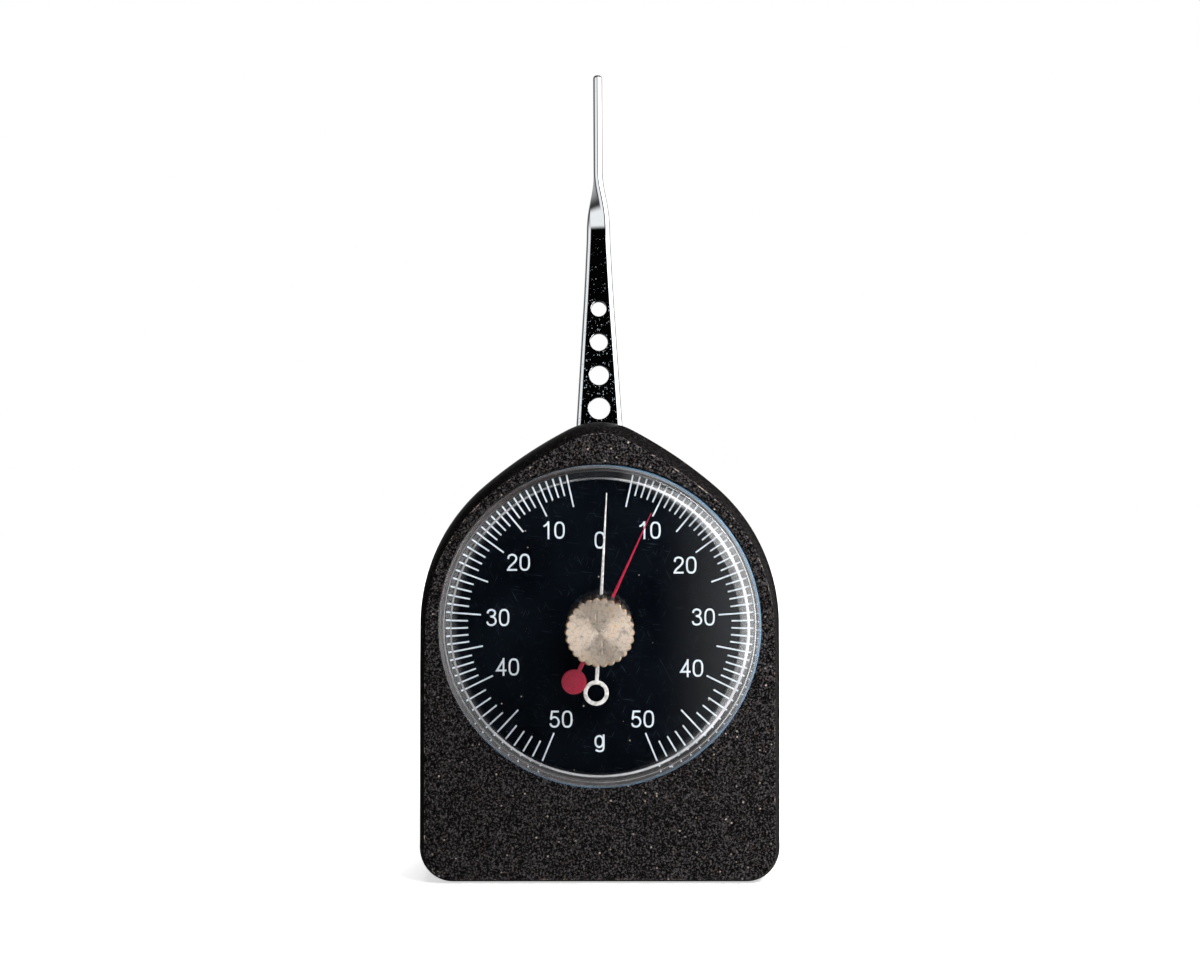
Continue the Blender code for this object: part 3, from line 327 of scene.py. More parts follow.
def makeDialPrint():
    material, tree, place = startMaterial("satin dial print")
    clouds = addNode(tree, "TexNoise", {"Vector": place, "Scale": perMillimetre(dialPrint["cloudSize"]),
                                        "Detail": 3.0})[0]
    coats = [(addNode(tree, "MapRange", {0: clouds, (1, 2): dialPrint["clouded"]})[0], "cloud")]
    for tilt in dialPrint["tilts"]:
        laid = addNode(tree, "Mapping", {
            "vector_type": "TEXTURE", "Vector": place, "Rotation": (0.0, math.radians(tilt), 0.0),
            "Scale": (dialPrint["width"] * millimetre, 1.0, dialPrint["length"] * millimetre)})[0]
        lines = addNode(tree, "TexNoise", {"Vector": laid, "Scale": 1.0, "Detail": 1.0, "Distortion": 0.3})[0]
        coats.append((addNode(tree, "MapRange", {0: lines, (1, 2, 4): dialPrint["scratched"]})[0], "scratch"))
    dust = addSpecks(tree, place, dialPrint["dustSpacing"], dialPrint["speck"], dialPrint["kept"])
    coats.append((dust, "dust"))
    face = layCoats(tree, colour(dialPrint["ground"]), dialPrint, *coats)
    return endMaterial(material, {"Base Color": face, "Roughness": dialPrint["roughness"],
                                  "Specular IOR Level": dialPrint["specular"]})


# Coats and metals of one colour: where the clouds in them start and end
plain = {"coatClouds": (0.4, 0.7), "metalClouds": (0.4, 0.75), "dullClouds": (0.3, 0.8), "markSize": 0.15}


def makePlain(name, base, spot, size, roughness, relief=0.0, marks=None):
    # One colour that clouds towards another over a size. With marks it is a metal that is duller in its
    # clouds and has tool marks drawn out along an axis; without them it is a coat with a fine orange-peel
    # relief
    material, tree, place = startMaterial(name)
    clouds = height = addNode(tree, "TexNoise", {"Vector": place, "Scale": perMillimetre(size), "Detail": 4.0,
                                                 "Roughness": 0.6})[0]
    share = addNode(tree, "MapRange", {0: clouds, (1, 2): plain["metalClouds" if marks else "coatClouds"]})[0]
    face = addNode(tree, "Mix", {"data_type": "RGBA", 0: share, 6: colour(base), 7: colour(spot)})[2]
    if marks:
        laid = addNode(tree, "Mapping", {"Vector": place, "Scale": marks})[0]
        height = addNode(tree, "TexNoise", {"Vector": laid, "Scale": perMillimetre(plain["markSize"]),
                                            "Detail": 2.0})[0]
        roughness = addNode(tree, "MapRange", {0: clouds, (1, 2): plain["dullClouds"], (3, 4): roughness})[0]
    settings = {"Base Color": face, "Roughness": roughness, "Metallic": 1.0 if marks else 0.0}
    if relief:
        settings["Normal"] = addNode(tree, "Bump", {"Distance": relief * millimetre, "Height": height})[0]
    return endMaterial(material, settings)


# Bright chromium plate on buffed steel: a black-and-white mirror with fine pale flecks where it is pitted,
# which come in between two heights
chrome = {"plate": "#e9ecef", "fleck": "#8fa3b8", "roughness": (0.035, 0.6), "fleckSpacing": 0.27,
          "speck": (0.46, 0.2), "kept": (0.62, 1.0, 1.0), "fleckHeights": (94.0, 76.0), "leastFlecks": 0.15,
          "waveSize": 2.5, "relief": 0.004}


def makeChrome():
    material, tree, place = startMaterial("bright chromium plate")
    fleck = addSpecks(tree, place, chrome["fleckSpacing"], chrome["speck"], chrome["kept"])
    height = addNode(tree, "SeparateXYZ", {0: place})[2]
    heights = [level * millimetre for level in chrome["fleckHeights"]]
    lower = addNode(tree, "MapRange", {0: height, (1, 2): heights, 3: chrome["leastFlecks"]})[0]
    fleck = addNode(tree, "Math", {"operation": "MULTIPLY", (0, 1): (fleck, lower)})[0]
    face = layCoats(tree, colour(chrome["plate"]), chrome, (fleck, "fleck"))
    rough = addNode(tree, "MapRange", {0: fleck, (3, 4): chrome["roughness"]})[0]
    wave = addNode(tree, "TexNoise", {"Vector": place, "Scale": perMillimetre(chrome["waveSize"]),
                                      "Detail": 1.0})[0]
    bump = addNode(tree, "Bump", {"Distance": chrome["relief"] * millimetre, "Height": wave})[0]
    return endMaterial(material, {"Base Color": face, "Roughness": rough, "Normal": bump, "Metallic": 1.0})


# Worn nickel plate on turned brass: ring-shaped tool marks spread the light into a bow tie, brass shows
# warm in patches and at the edge, and grime lies in specks and patches. The side is darkened all round
# with the grime colour as painted shade
knobFinish = {"nickel": "#ada195", "worn": "#bd9468", "grimeAndShade": "#433930", "ring": 0.11, "relief": 0.013,
              "mottleSize": 0.35, "mottleHeight": 1.6, "roughness": (0.3, 0.7, 0.26, 0.42), "wearSize": 0.8,
              "wornPatches": (0.5, 0.75, 0.45), "wornRadii": (4.1, 4.7), "wornEdge": 0.55,
              "grimePatches": (0.47, 0.3, 0.65), "grimeSpecks": (0.52, 0.34, 0.38),
              "sideDepths": (-7.35, -6.9), "sideShade": 0.85}


def makeKnobNickel():
    material, tree, place = startMaterial("worn nickel on turned brass")
    centred = addNode(tree, "Mapping", {"Vector": place, "Location": (0.0, 0.0, -dialHeight * millimetre)})[0]
    across, depth, up = addNode(tree, "SeparateXYZ", {0: centred})
    flat = addNode(tree, "CombineXYZ", {0: across, 2: up})[0]
    radius = addNode(tree, "VectorMath", {"operation": "LENGTH", 0: flat})["Value"]
    ringTurn = 2 * math.pi * perMillimetre(knobFinish["ring"])
    phase = addNode(tree, "Math", {"operation": "MULTIPLY", (0, 1): (radius, ringTurn)})[0]
    rings = addNode(tree, "Math", {"operation": "SINE", 0: phase})[0]
    mottle = addNode(tree, "TexNoise", {"Vector": place, "Scale": perMillimetre(knobFinish["mottleSize"]),
                                        "Detail": 4.0, "Roughness": 0.7})[0]
    height = addNode(tree, "Math", {"operation": "MULTIPLY_ADD",
                                    (0, 1, 2): (mottle, knobFinish["mottleHeight"], rings)})[0]
    bump = addNode(tree, "Bump", {"Distance": knobFinish["relief"] * millimetre, "Height": height})[0]
    wear = addNode(tree, "TexNoise", {"Vector": place, "Scale": perMillimetre(knobFinish["wearSize"]),
                                      "Detail": 5.0, "Roughness": 0.65})[0]
    radii = [reach * millimetre for reach in knobFinish["wornRadii"]]
    edge = addNode(tree, "MapRange", {0: radius, (1, 2): radii, 4: knobFinish["wornEdge"]})[0]
    worn = addNode(tree, "MapRange", {0: wear, (1, 2, 4): knobFinish["wornPatches"]})[0]
    worn = addNode(tree, "Math", {"operation": "ADD", "use_clamp": True, (0, 1): (edge, worn)})[0]
    grimeAndShade = addNode(tree, "MapRange", {0: wear, (1, 2, 4): knobFinish["grimePatches"]})[0]
    specks = addNode(tree, "MapRange", {0: mottle, (1, 2, 4): knobFinish["grimeSpecks"]})[0]
    # The side is darkened all round with the grime colour: painted shade
    depths = [(frontFace + level) * millimetre for level in knobFinish["sideDepths"]]
    side = addNode(tree, "MapRange", {0: depth, (1, 2): depths, 4: knobFinish["sideShade"]})[0]
    for share in (specks, side):
        grimeAndShade = addNode(tree, "Math", {"operation": "MAXIMUM", (0, 1): (grimeAndShade, share)})[0]
    face = layCoats(tree, colour(knobFinish["nickel"]), knobFinish, (worn, "worn"), (grimeAndShade, "grimeAndShade"))
    rough = addNode(tree, "MapRange", {0: mottle, (1, 2, 3, 4): knobFinish["roughness"]})[0]
    return endMaterial(material, {"Base Color": face, "Roughness": rough, "Normal": bump, "Metallic": 1.0})


finishes = {
    "case_paint": makeWrinklePaint(),
    "lens_clear": makeAcrylic(),
    # Moulded black rubber: dull, with brown dust in its pores
    "seal_rubber": makePlain("black rubber", "#1c1718", "#463a38", 1.4, 0.7, 0.01),
    "dial_print": makeDialPrint(),
    # Screen-printed white ink: slightly blue, flat, a little thin in places
    "dial_marks": makePlain("white printing ink", "#e0e7ec", "#c8d2da", 1.2, 0.6),
    # Stoved enamel on stamped brass: warm white, softly glossy
    "white_enamel": makePlain("white enamel", "#efece7", "#aaa49c", 0.5, 0.35, 0.004),
    # Stoved enamel on stamped brass: crimson, darker where it is thin
    "red_enamel": makePlain("red enamel", "#b8183c", "#8e122e", 0.35, 0.4, 0.006),
    "chrome_plate": makeChrome(),
    "knob_nickel": makeKnobNickel(),
    # Turned and stamped brass: warm, fine marks round the work
    "movement_brass": makePlain("turned brass", "#d9b878", "#a9824a", 3.0, (0.22, 0.4), 0.004, (1, 3, 1)),
    # Ground steel: grey, fine marks one way
    "movement_steel": makePlain("ground steel", "#c4c5c7", "#8f8d8a", 2.0, (0.25, 0.42), 0.004, (1, 6, 1)),
}
print("made", len(finishes), "materials")

# Every CAD node that stays in sight takes the detailed material of its slot
slotOf = {part["node"]: part["material_slot"] for part in frame["record"]["subparts"]}
for node, piece in frame["nodes"].items():
    for materialSlot in piece.material_slots:
        materialSlot.material = finishes[slotOf[node]]


# Case: a shield of arcs that run into each other; a crease round the face, then an edge that falls away
# steeply, wider at the top than below
case = {"halfWidth": 25.4, "cornerRadius": 4.8, "capRadius": 10.0, "shoulderTurn": 49.0, "slopeTurn": 62.5,
        "sidePoints": 44, "arcPoints": (18, 52, 22, 18), "wall": 1.8, "frontWall": 2.0, "rear": 12.1,
        "opening": 22.5, "openingEdge": 0.15, "rearEdge": 0.2,
        "roundingHeights": (0.0, 6.0, 30.0, 50.0, 62.0),
        "roundingWidths": (0.7, 0.95, 1.0, 1.5, 1.9), "roundingStart": 25.0, "roundingShape": 2.36,
        "roundingSteps": 14, "wearWidth": 0.1,
        "boss": {"radius": 3.2, "side": 20.8, "height": 4.6, "end": 11.95, "tap": 0.95, "tapFloor": 6.8},
        "foot": {"radius": 2.2, "side": 16.5, "height": 12.0, "end": 2.8, "tap": 0.85, "tapFloor": 1.35},
        "bossRoundings": (0.0, 0.05, 0.15, 0.15, 0.05, 0.0),
        "slot": {"half": 7.85, "front": 5.75, "back": 8.25, "low": 55.05, "high": 66.0, "corner": 1.1}}


def outlineOf():
    # Points and outward directions along the outline, counter-clockwise from the middle of the bottom:
    # straight runs and arcs, whose point is centre + radius * direction; the left half mirrors the right
    half, corner, cap, count = case["halfWidth"], case["cornerRadius"], case["capRadius"], case["sidePoints"]
    shoulder, slope = math.radians(case["shoulderTurn"]), math.radians(case["slopeTurn"])
    share = math.cos(shoulder) / math.cos(slope)
    slopeRadius = (half * share - cap) / (share - 1)
    slopeSide = math.cos(shoulder) * (half - slopeRadius)
    slopeHeight = dialHeight + math.sin(shoulder) * (half - slopeRadius)
    capHeight = slopeHeight + math.sin(slope) * (slopeRadius - cap)
    arcs = [((half - corner, corner), corner, -math.pi / 2, 0.0), ((0.0, dialHeight), half, 0.0, shoulder),
            ((slopeSide, slopeHeight), slopeRadius, shoulder, slope),
            ((0.0, capHeight), cap, slope, math.pi / 2)]
    side = np.linspace(0, 1, count, endpoint=False)[:, None]
    points = [side * (half - corner, 0.0)]
    ways = [np.tile((0.0, -1.0), (count, 1))]
    for (centre, radius, start, end), steps in zip(arcs, case["arcPoints"]):
        turn = np.linspace(start, end, steps, endpoint=False)[:, None]
        way = np.concatenate([np.cos(turn), np.sin(turn)], axis=1)
        points.append(centre + radius * way)
        ways.append(way)
        if end == 0.0:  # the straight side follows the corner
            points.append((half, corner) + side * (0.0, dialHeight - corner))
            ways.append(np.tile((1.0, 0.0), (count, 1)))
    points = np.concatenate(points + [[[0.0, capHeight + cap]]])
    ways = np.concatenate(ways + [[[0.0, 1.0]]])
    return [np.concatenate([part, part[-2:0:-1] * (-1.0, 1.0)]) for part in (points, ways)]


def casing(rows):
    # Rows of the outline drawn in by an inset, or circles of a radius about the dial, each set at a depth
    points, ways = outlineOf()
    bearing = np.arctan2(points[:, 1] - dialHeight, points[:, 0])
    circle = np.stack([np.cos(bearing), np.sin(bearing)], axis=1)
    grid = []
    for kind, size, depth in rows:
        size = np.broadcast_to(size, len(points))[:, None]
        flat = points - ways * size if kind == "inset" else (0.0, dialHeight) + circle * size
        grid.append(atDepth(flat, depth))
    return np.stack(grid)


def makeHousing():
    points, _ = outlineOf()
    width = np.interp(points[:, 1], case["roundingHeights"], case["roundingWidths"])
    deep = width * case["roundingShape"]
    begin = math.radians(case["roundingStart"])
    wall, rear, front = [case[key] for key in ("wall", "rear", "frontWall")]
    edge, small = case["openingEdge"], case["rearEdge"]
    rows = [("circle", case["opening"], front), ("circle", case["opening"], edge + beside)]
    rows += [("circle", case["opening"] + edge * out, edge * down) for out, down in quarter(6)]
    rows += [("circle", case["opening"] + edge + beside, 0.0), ("inset", width + case["wearWidth"], 0.0)]
    creased = len(rows)
    # From the crease the edge follows an ellipse, from its starting angle to a quarter turn
    for turn in np.linspace(begin, np.pi / 2, case["roundingSteps"] + 1):
        rows.append(("inset", width * (1 - math.sin(turn)) / (1 - math.sin(begin)),
                     deep * (1 - math.cos(turn) / math.cos(begin))))
    rows += [("inset", 0.0, deep + beside), ("inset", 0.0, rear - small - beside)]
    rows += [("inset", small * out, rear - small * down) for out, down in quarter(5)]
    rows += [("inset", small + beside, rear), ("inset", wall, rear), ("inset", wall, front)]
    grid = casing(rows)
    # A wear of 1 on the crease row gives its pale line, rubbed paint and a painted highlight; -1 beyond marks the
    # smooth edge
    wear = np.zeros(grid.shape[:2])
    wear[creased + 1:] = -1
    wear[creased] = 1
    housing = makeObject("case_front", [skin(grid, closedRows=True)], sharp=30, wear=wear)

    slot = case["slot"]
    ring = roundCorners(rectangle(-slot["half"], slot["half"], slot["front"], slot["back"]),
                        [slot["corner"]] * 4)
    carve(housing, [bar(ring, slot["low"], slot["high"])])
    tools = []
    for boss in (case["boss"], case["foot"]):
        cup = [(0.0, front / 2), (boss["radius"], front / 2), (boss["radius"], boss["end"]),
               (boss["tap"], boss["end"]), (boss["tap"], boss["tapFloor"]), (0.0, boss["tapFloor"])]
        cup = roundCorners(cup, case["bossRoundings"], 3, closed=False)
        for side in (-1, 1):
            tools.append(makeObject("boss", [skin(turned(cup, 48, (side * boss["side"], boss["height"])))]))
    carve(housing, tools, "UNION")
    return fit(housing, finishes["case_paint"], "root", "case_paint", "front_housing")


makeHousing()

# Back cover: the same outline, a small rounding at the back, a locating rim and four counterbored holes
cover = {"front": 12.4, "back": 14.4, "rounding": 1.0, "edge": 0.15, "rim": 1.2, "rimOuter": 2.1,
         "rimInner": 3.1,
         "middle": 32.0, "screws": ((-20.8, 4.6), (20.8, 4.6), (-16.974, 46.0), (16.974, 46.0)),
         "bore": 1.1, "counterbore": 2.1, "counterboreDepth": 1.4, "past": 0.25, "notch": 3.5,
         "screw": {"end": 7.7, "tip": (0.5, 0.4), "seat": 13.3, "top": 14.2, "shank": 0.8, "head": 1.8,
                   "roundings": (0.0, 0.05, 0.05, 0.02, 0.05, 0.18, 0.0), "slot": 0.4, "slotDepth": 0.45,
                   "turns": (35.0, -20.0, 70.0, 10.0)}}


def makeCover():
    front, back, round, edge, rim = [cover[key] for key in ("front", "back", "rounding", "edge", "rim")]
    rows = [("inset", cover["rimInner"], front), ("inset", cover["rimInner"], front - rim),
            ("inset", cover["rimOuter"], front - rim), ("inset", cover["rimOuter"], front),
            ("inset", edge, front), ("inset", 0.0, front + edge), ("inset", 0.0, back - round - beside)]
    rows += [("inset", round * out, back - round * down) for out, down in quarter(11)]
    rows.append(("inset", round + beside, back))
    grid = capped(casing(rows), (0.0, front, cover["middle"]), (0.0, back, cover["middle"]))
    wear = np.zeros(grid.shape[:2])
    wear[5:-2] = -1  # its side is smooth
    piece = makeObject("case_back", [skin(grid)], sharp=40, wear=wear)
    past, floor = cover["past"], back - cover["counterboreDepth"]
    bore = [(0.0, front - 1), (cover["bore"], front - 1), (cover["bore"], floor),
            (cover["counterbore"], floor),
            (cover["counterbore"], back - edge), (cover["counterbore"] + edge + past, back + past),
            (0.0, back + past)]
    notch = [(0.0, front - 2), (cover["notch"], front - 2), (cover["notch"], front), (0.0, front)]
    tools = [makeObject("bore", [skin(turned(bore, 64, place))]) for place in cover["screws"]]
    tools += [makeObject("notch", [skin(turned(notch, 64, place))]) for place in cover["screws"][:2]]
    carve(piece, tools, sharp=40)
    return fit(piece, finishes["case_paint"], "root", "case_paint", "back_cover")


def makeScrews():
    screw = cover["screw"]
    head, top, half = screw["head"], screw["top"], screw["slot"] / 2
    end, shank, seat = screw["end"], screw["shank"], screw["seat"]
    profile = [(0.0, end), (screw["tip"][0], end), (shank, end + screw["tip"][1]), (shank, seat),
               (head, seat), (head, top), (0.0, top)]
    profile = roundCorners(profile, screw["roundings"], 5, closed=False)
    ring = rectangle(-half, half, top - screw["slotDepth"], top + 1)
    for number, ((side, height), turn) in enumerate(zip(cover["screws"], screw["turns"]), start=1):
        piece = makeObject("screw_" + str(number), [skin(turned(profile, 72))], height, aside=side)
        carve(piece, [bar(ring, -head - 1, head + 1, height=height, turn=turn, aside=side)])
        fit(piece, finishes["movement_steel"], "root", "movement_steel", "cover_screw_" + str(number))


makeCover()
makeScrews()

# Lens: a clear cup whose bevelled rim shows the ends of the ticks a second time. Its crease is rubbed
# white, most at the lower right: scuffed and a painted highlight. A pale crescent along both sides of it
# there is a painted reflection of the light over fine scratches. The rim is painted blue, a painted
# colour fringe, and the inner wall's top corner is painted pale at the left, a painted highlight
lens = {"bore": 1.75, "flat": 20.42, "rim": 22.3, "inner": 21.5, "front": -2.65, "bevelEnd": -1.75,
        "foot": 1.3, "wornPast": 0.05,
        "ceiling": -1.25, "radii": (0.05, 0.5, 0.25, 0.1, 0.1, 0.3, 0.05), "domeStart": 19.1, "domeDrop": 0.1,
        "steps": {"corner": 8, "dome": 22, "bevel": 26, "turn": 0.55, "gateTurn": 0.2, "gateHalf": 5.0},
        "crease": {"half": (0.08, 0.19), "soft": 0.05,
                   "bearings": (0, 20, 60, 90, 120, 150, 180, 225, 255, 285, 315, 340, 360),
                   "shares": (0.1, 0.55, 0.75, 0.8, 0.82, 0.64, 0.5, 0.58, 0.42, 0.46, 0.38, 0.24, 0.1)},
        "hazeAndReflection": {"much": (0.17, 0.1), "soft": 0.08, "bearings": (10, 30, 60, 95, 120, 140, 158),
                 "inner": (0.0, 0.45, 1.2, 1.2, 1.0, 0.6, 0.0),
                 "outer": (0.0, 0.85, 1.05, 1.0, 0.2, 0.0, 0.0)},
        "rimFringe": {"corner": 0.65, "bevel": 0.25, "from": 21.85, "bearing": 115.0, "half": 150.0},
        "innerEdgeHighlight": {"much": 0.45, "bearing": 275.0, "half": 50.0, "reach": (0.05, 0.35)},
        "gate": {"bearing": 156.3, "radius": 21.35, "halfAlong": 1.3, "halfAcross": 0.82, "ridge": 0.16,
                 "rise": 0.05}}


def around(angles, bearing, half):
    # From 1 at a bearing down to 0 at the half angle on both sides: a quarter of a cosine wave each way
    off = np.abs((np.degrees(angles) - bearing + 180) % 360 - 180)
    return np.cos(np.clip(off / half, 0, 1) * np.pi / 2)


def makeLens():
    flat, start, steps = lens["flat"], lens["domeStart"], lens["steps"]
    corners = [(lens["bore"], lens["front"]), (flat, lens["front"] + lens["domeDrop"]),
               (lens["rim"], lens["bevelEnd"]), (lens["rim"], lens["foot"]), (lens["inner"], lens["foot"]),
               (lens["inner"], lens["ceiling"]), (lens["bore"], lens["ceiling"])]
    profile = roundCorners(corners, lens["radii"], steps["corner"])
    arc = steps["corner"] + 3  # points that roundCorners puts at a corner
    # The front is flat as far as the dome, which then falls away with the square of the distance
    radius = np.concatenate([[start], np.linspace(start, profile[arc, 0], steps["dome"])[1:-1]])
    fall = (radius - start) / (flat - start)
    dome = np.stack([radius, lens["front"] + lens["domeDrop"] * fall ** 2], axis=1)
    share = np.linspace(0, 1, steps["bevel"])[1:-1, None]
    bevel = profile[2 * arc - 1] + share * (profile[2 * arc] - profile[2 * arc - 1])
    profile = np.concatenate([profile[:arc], dome, profile[arc:2 * arc], bevel, profile[2 * arc:]])
    rimmed = 2 * arc + len(dome) + len(bevel)
    gate = lens["gate"]
    first, last = gate["bearing"] - steps["gateHalf"], gate["bearing"] + steps["gateHalf"]
    degrees = [np.arange(first, last, steps["gateTurn"]), np.arange(last, first + 360, steps["turn"])]
    degrees = np.concatenate(degrees)
    angles = np.radians(degrees)
    grid = turned(profile, angles=angles)
    # The moulding gate's mark: a ridge along an ellipse on the bevel, as high as a bell curve of the
    # distance
    along = (angles - math.radians(gate["bearing"])) * gate["radius"]
    along = (along + np.pi * gate["radius"]) % (2 * np.pi * gate["radius"]) - np.pi * gate["radius"]
    across = profile[:, 0] - gate["radius"]
    oval = np.hypot(along[None, :] / gate["halfAlong"], across[:, None] / gate["halfAcross"])
    rise = gate["rise"] * np.exp(-((oval - 1) * gate["halfAcross"] / gate["ridge"]) ** 2)
    onFront = (profile[:, 1] < lens["bevelEnd"] + lens["wornPast"])[:, None]
    grid[..., 1] -= rise * onFront
    # Wear of the crease, scuffed and a painted highlight, and of the painted reflection beside it goes by the
    # distance from the crease and by the bearing
    crease, hazeAndReflection, fringe, innerEdgeHighlight = lens["crease"], lens["hazeAndReflection"], lens["rimFringe"], lens["innerEdgeHighlight"]
    beyond = profile[:, :1] - flat
    bright = np.interp(degrees % 360, crease["bearings"], crease["shares"])
    half = crease["half"][0] + (crease["half"][1] - crease["half"][0]) * bright
    line = np.clip((half - np.abs(beyond)) / crease["soft"] + 1, 0, 1) * bright
    # The pale crescent beside the crease, strongest on the right, is a painted reflection of the light
    inward, outward = [np.interp(degrees % 360, hazeAndReflection["bearings"], hazeAndReflection[side]) for side in ("inner", "outer")]
    left = np.where(beyond < 0, inward + beyond, outward - beyond)
    cloud = np.where(beyond < 0, *hazeAndReflection["much"]) * np.clip(left / hazeAndReflection["soft"], 0, 1)
    wear = np.maximum(line, cloud) * onFront
    # The rim is painted blue, most towards one bearing: a painted colour fringe of split light
    fringed = around(angles, fringe["bearing"], fringe["half"])
    wear = np.where((profile[:, :1] > fringe["from"]) & onFront, -fringe["bevel"] * fringed, wear)
    wear[rimmed + 1:rimmed + arc - 2] = -fringe["corner"] * fringed
    # The inner wall's top corner is painted pale, most at the left: a painted highlight seen through the bevel
    corner = np.abs(profile - (lens["inner"], lens["ceiling"])) < innerEdgeHighlight["reach"]
    wear[corner.all(axis=1)] = innerEdgeHighlight["much"] * around(angles, innerEdgeHighlight["bearing"], innerEdgeHighlight["half"])
    piece = makeObject("lens_cup", [skin(grid, closedRows=True)], dialHeight, wear=wear)
    piece.visible_shadow = False  # light reaches the dial through it without noise
    piece.visible_diffuse = False
    return fit(piece, finishes["lens_clear"], "root", "lens_clear", "lens")


makeLens()

# Rings on the dial's axis, each for one CAD node: (radius, depth) corners and the rounding of each. An open
# one begins and ends on the axis
rings = {
    "seal_ring": ("lens_seal", "seal_rubber", "root", True, rectangle(21.2, 22.2, 1.6, 2.0), [0.12] * 4),
    "drag_bush": ("lens_bush", "movement_brass", "root", True,
                  [(0.95, -2.75), (1.6, -2.75), (1.6, -0.95), (2.4, -0.95), (2.4, -0.75), (0.95, -0.75)],
                  [0.05, 0.1, 0.03, 0.05, 0.05, 0.05]),
    "hand_hub": ("pointer_hub", "movement_brass", "pointer", True,
                 [(0.6, 2.0), (1.6, 2.0), (1.6, 1.35), (0.9, 1.35), (0.9, 0.75), (0.6, 0.75)],
                 [0.05, 0.1, 0.1, 0.03, 0.08, 0.05]),
    "drag_spindle": ("drag_arbor", "movement_steel", "drag", False,
                     [(0.0, -5.85), (0.8, -5.85), (0.8, 0.10), (1.4, 0.10), (1.4, 0.40), (0.0, 0.40)],
                     [0.0, 0.1, 0.03, 0.06, 0.06, 0.0]),
}
for name, (node, slot, body, closed, corners, radii) in rings.items():
    grid = turned(roundCorners(corners, radii, 5, closed=closed))
    fit(makeObject(name, [skin(grid, closedRows=closed)], dialHeight), finishes[slot], body, slot, node)


# Dial marks: raised ink, each stroke a low ribbon carried along its line, and small ink marks on the
# seal as a painted image of the tick ends that the lens's foot shows again
marks = {"front": 2.3, "sunk": 0.005, "ink": 0.03, "edge": 0.03, "outer": 20.85, "long": 16.8, "short": 18.6,
         "tickWidth": 0.225, "bearings": (12.7, 26.4, 40.0, 53.7, 69.8, 86.0, 101.1, 116.2, 136.8, 157.4),
         "between": 4, "capHeight": 2.5, "stroke": 0.262, "advance": 0.71, "digitWidth": 0.63,
         "rankDrop": 0.12, "leastMitre": 0.3,
         "paintedTickDots": {"reach": 21.7, "radius": 0.11, "from": 80.0, "until": 125.0, "back": 1.54, "edge": 1.48,
                  "front": 1.46},
         "numerals": (("10", -6.57, 13.10), ("20", -11.47, 8.57), ("30", -14.38, 0.78), ("40", -13.01, -6.19),
                      ("50", -5.48, -13.56), ("10", 6.97, 13.10), ("20", 12.02, 8.18), ("30", 14.61, 0.85),
                      ("40", 12.97, -6.37), ("50", 6.03, -13.54), ("0", 0.0, 11.7), ("g", 0.0, -16.3))}

# Lines of each figure in shares of its height: ("bent", points) runs smoothly through them, ("straight",
# points) keeps its corners, and ("loop", points) closes on itself
figures = {
    "0": [("loop", [(0.07, 0.5), (0.095, 0.76), (0.19, 0.9), (0.315, 0.93), (0.44, 0.9), (0.535, 0.76),
                    (0.56, 0.5), (0.535, 0.24), (0.44, 0.1), (0.315, 0.07), (0.19, 0.1), (0.095, 0.24)])],
    "1": [("straight", [(0.40, 0.0), (0.40, 1.0)]), ("bent", [(0.385, 0.94), (0.27, 0.80), (0.13, 0.71)])],
    "2": [("bent", [(0.09, 0.69), (0.14, 0.86), (0.315, 0.93), (0.49, 0.865), (0.545, 0.72), (0.49, 0.56),
                    (0.33, 0.39), (0.17, 0.24), (0.10, 0.09)]), ("straight", [(0.025, 0.07), (0.59, 0.07)])],
    "3": [("bent", [(0.085, 0.735), (0.15, 0.875), (0.305, 0.93), (0.46, 0.875), (0.515, 0.745), (0.44, 0.60),
                    (0.25, 0.545)]),
          ("bent", [(0.30, 0.548), (0.47, 0.49), (0.555, 0.30), (0.48, 0.13), (0.305, 0.07), (0.14, 0.12),
                    (0.065, 0.265)])],
    "4": [("straight", [(0.44, 0.90), (0.075, 0.30), (0.61, 0.30)]),
          ("straight", [(0.445, 0.0), (0.445, 1.0)])],
    "5": [("straight", [(0.55, 0.93), (0.165, 0.93), (0.105, 0.50)]),
          ("bent", [(0.09, 0.48), (0.19, 0.585), (0.32, 0.615), (0.47, 0.545), (0.555, 0.345), (0.475, 0.135),
                    (0.31, 0.07), (0.15, 0.12), (0.065, 0.26)])],
    "g": [("loop", [(0.07, 0.33), (0.12, 0.55), (0.29, 0.65), (0.45, 0.55), (0.50, 0.33), (0.45, 0.12),
                    (0.29, 0.02), (0.12, 0.12)]),
          ("bent", [(0.535, 0.73), (0.535, 0.40), (0.535, 0.06), (0.49, -0.15), (0.30, -0.22),
                    (0.09, -0.14)])],
}


def bend(points, closed, steps=8):
    # A smooth line through the points: between two, a cubic that leaves each along its neighbours' line
    points = np.asarray(points, float)
    if closed:
        before, after = np.roll(points, 1, axis=0), np.roll(points, -1, axis=0)
    else:
        padded = np.concatenate([[2 * points[0] - points[1]], points, [2 * points[-1] - points[-2]]])
        before, after = padded[:-2], padded[2:]
    slope = (after - before) / 2
    start, end = points, np.roll(points, -1, axis=0)
    endSlope = np.roll(slope, -1, axis=0)
    share = np.linspace(0, 1, steps, endpoint=False)[None, :, None]
    cubic = ((2 * share ** 3 - 3 * share ** 2 + 1) * start[:, None] + (share ** 3 - 2 * share ** 2 + share)
             * slope[:, None] + (3 * share ** 2 - 2 * share ** 3) * end[:, None]
             + (share ** 3 - share ** 2) * endSlope[:, None])
    if closed:
        return cubic.reshape(-1, 2)
    return np.concatenate([cubic[:-1].reshape(-1, 2), points[-1:]])


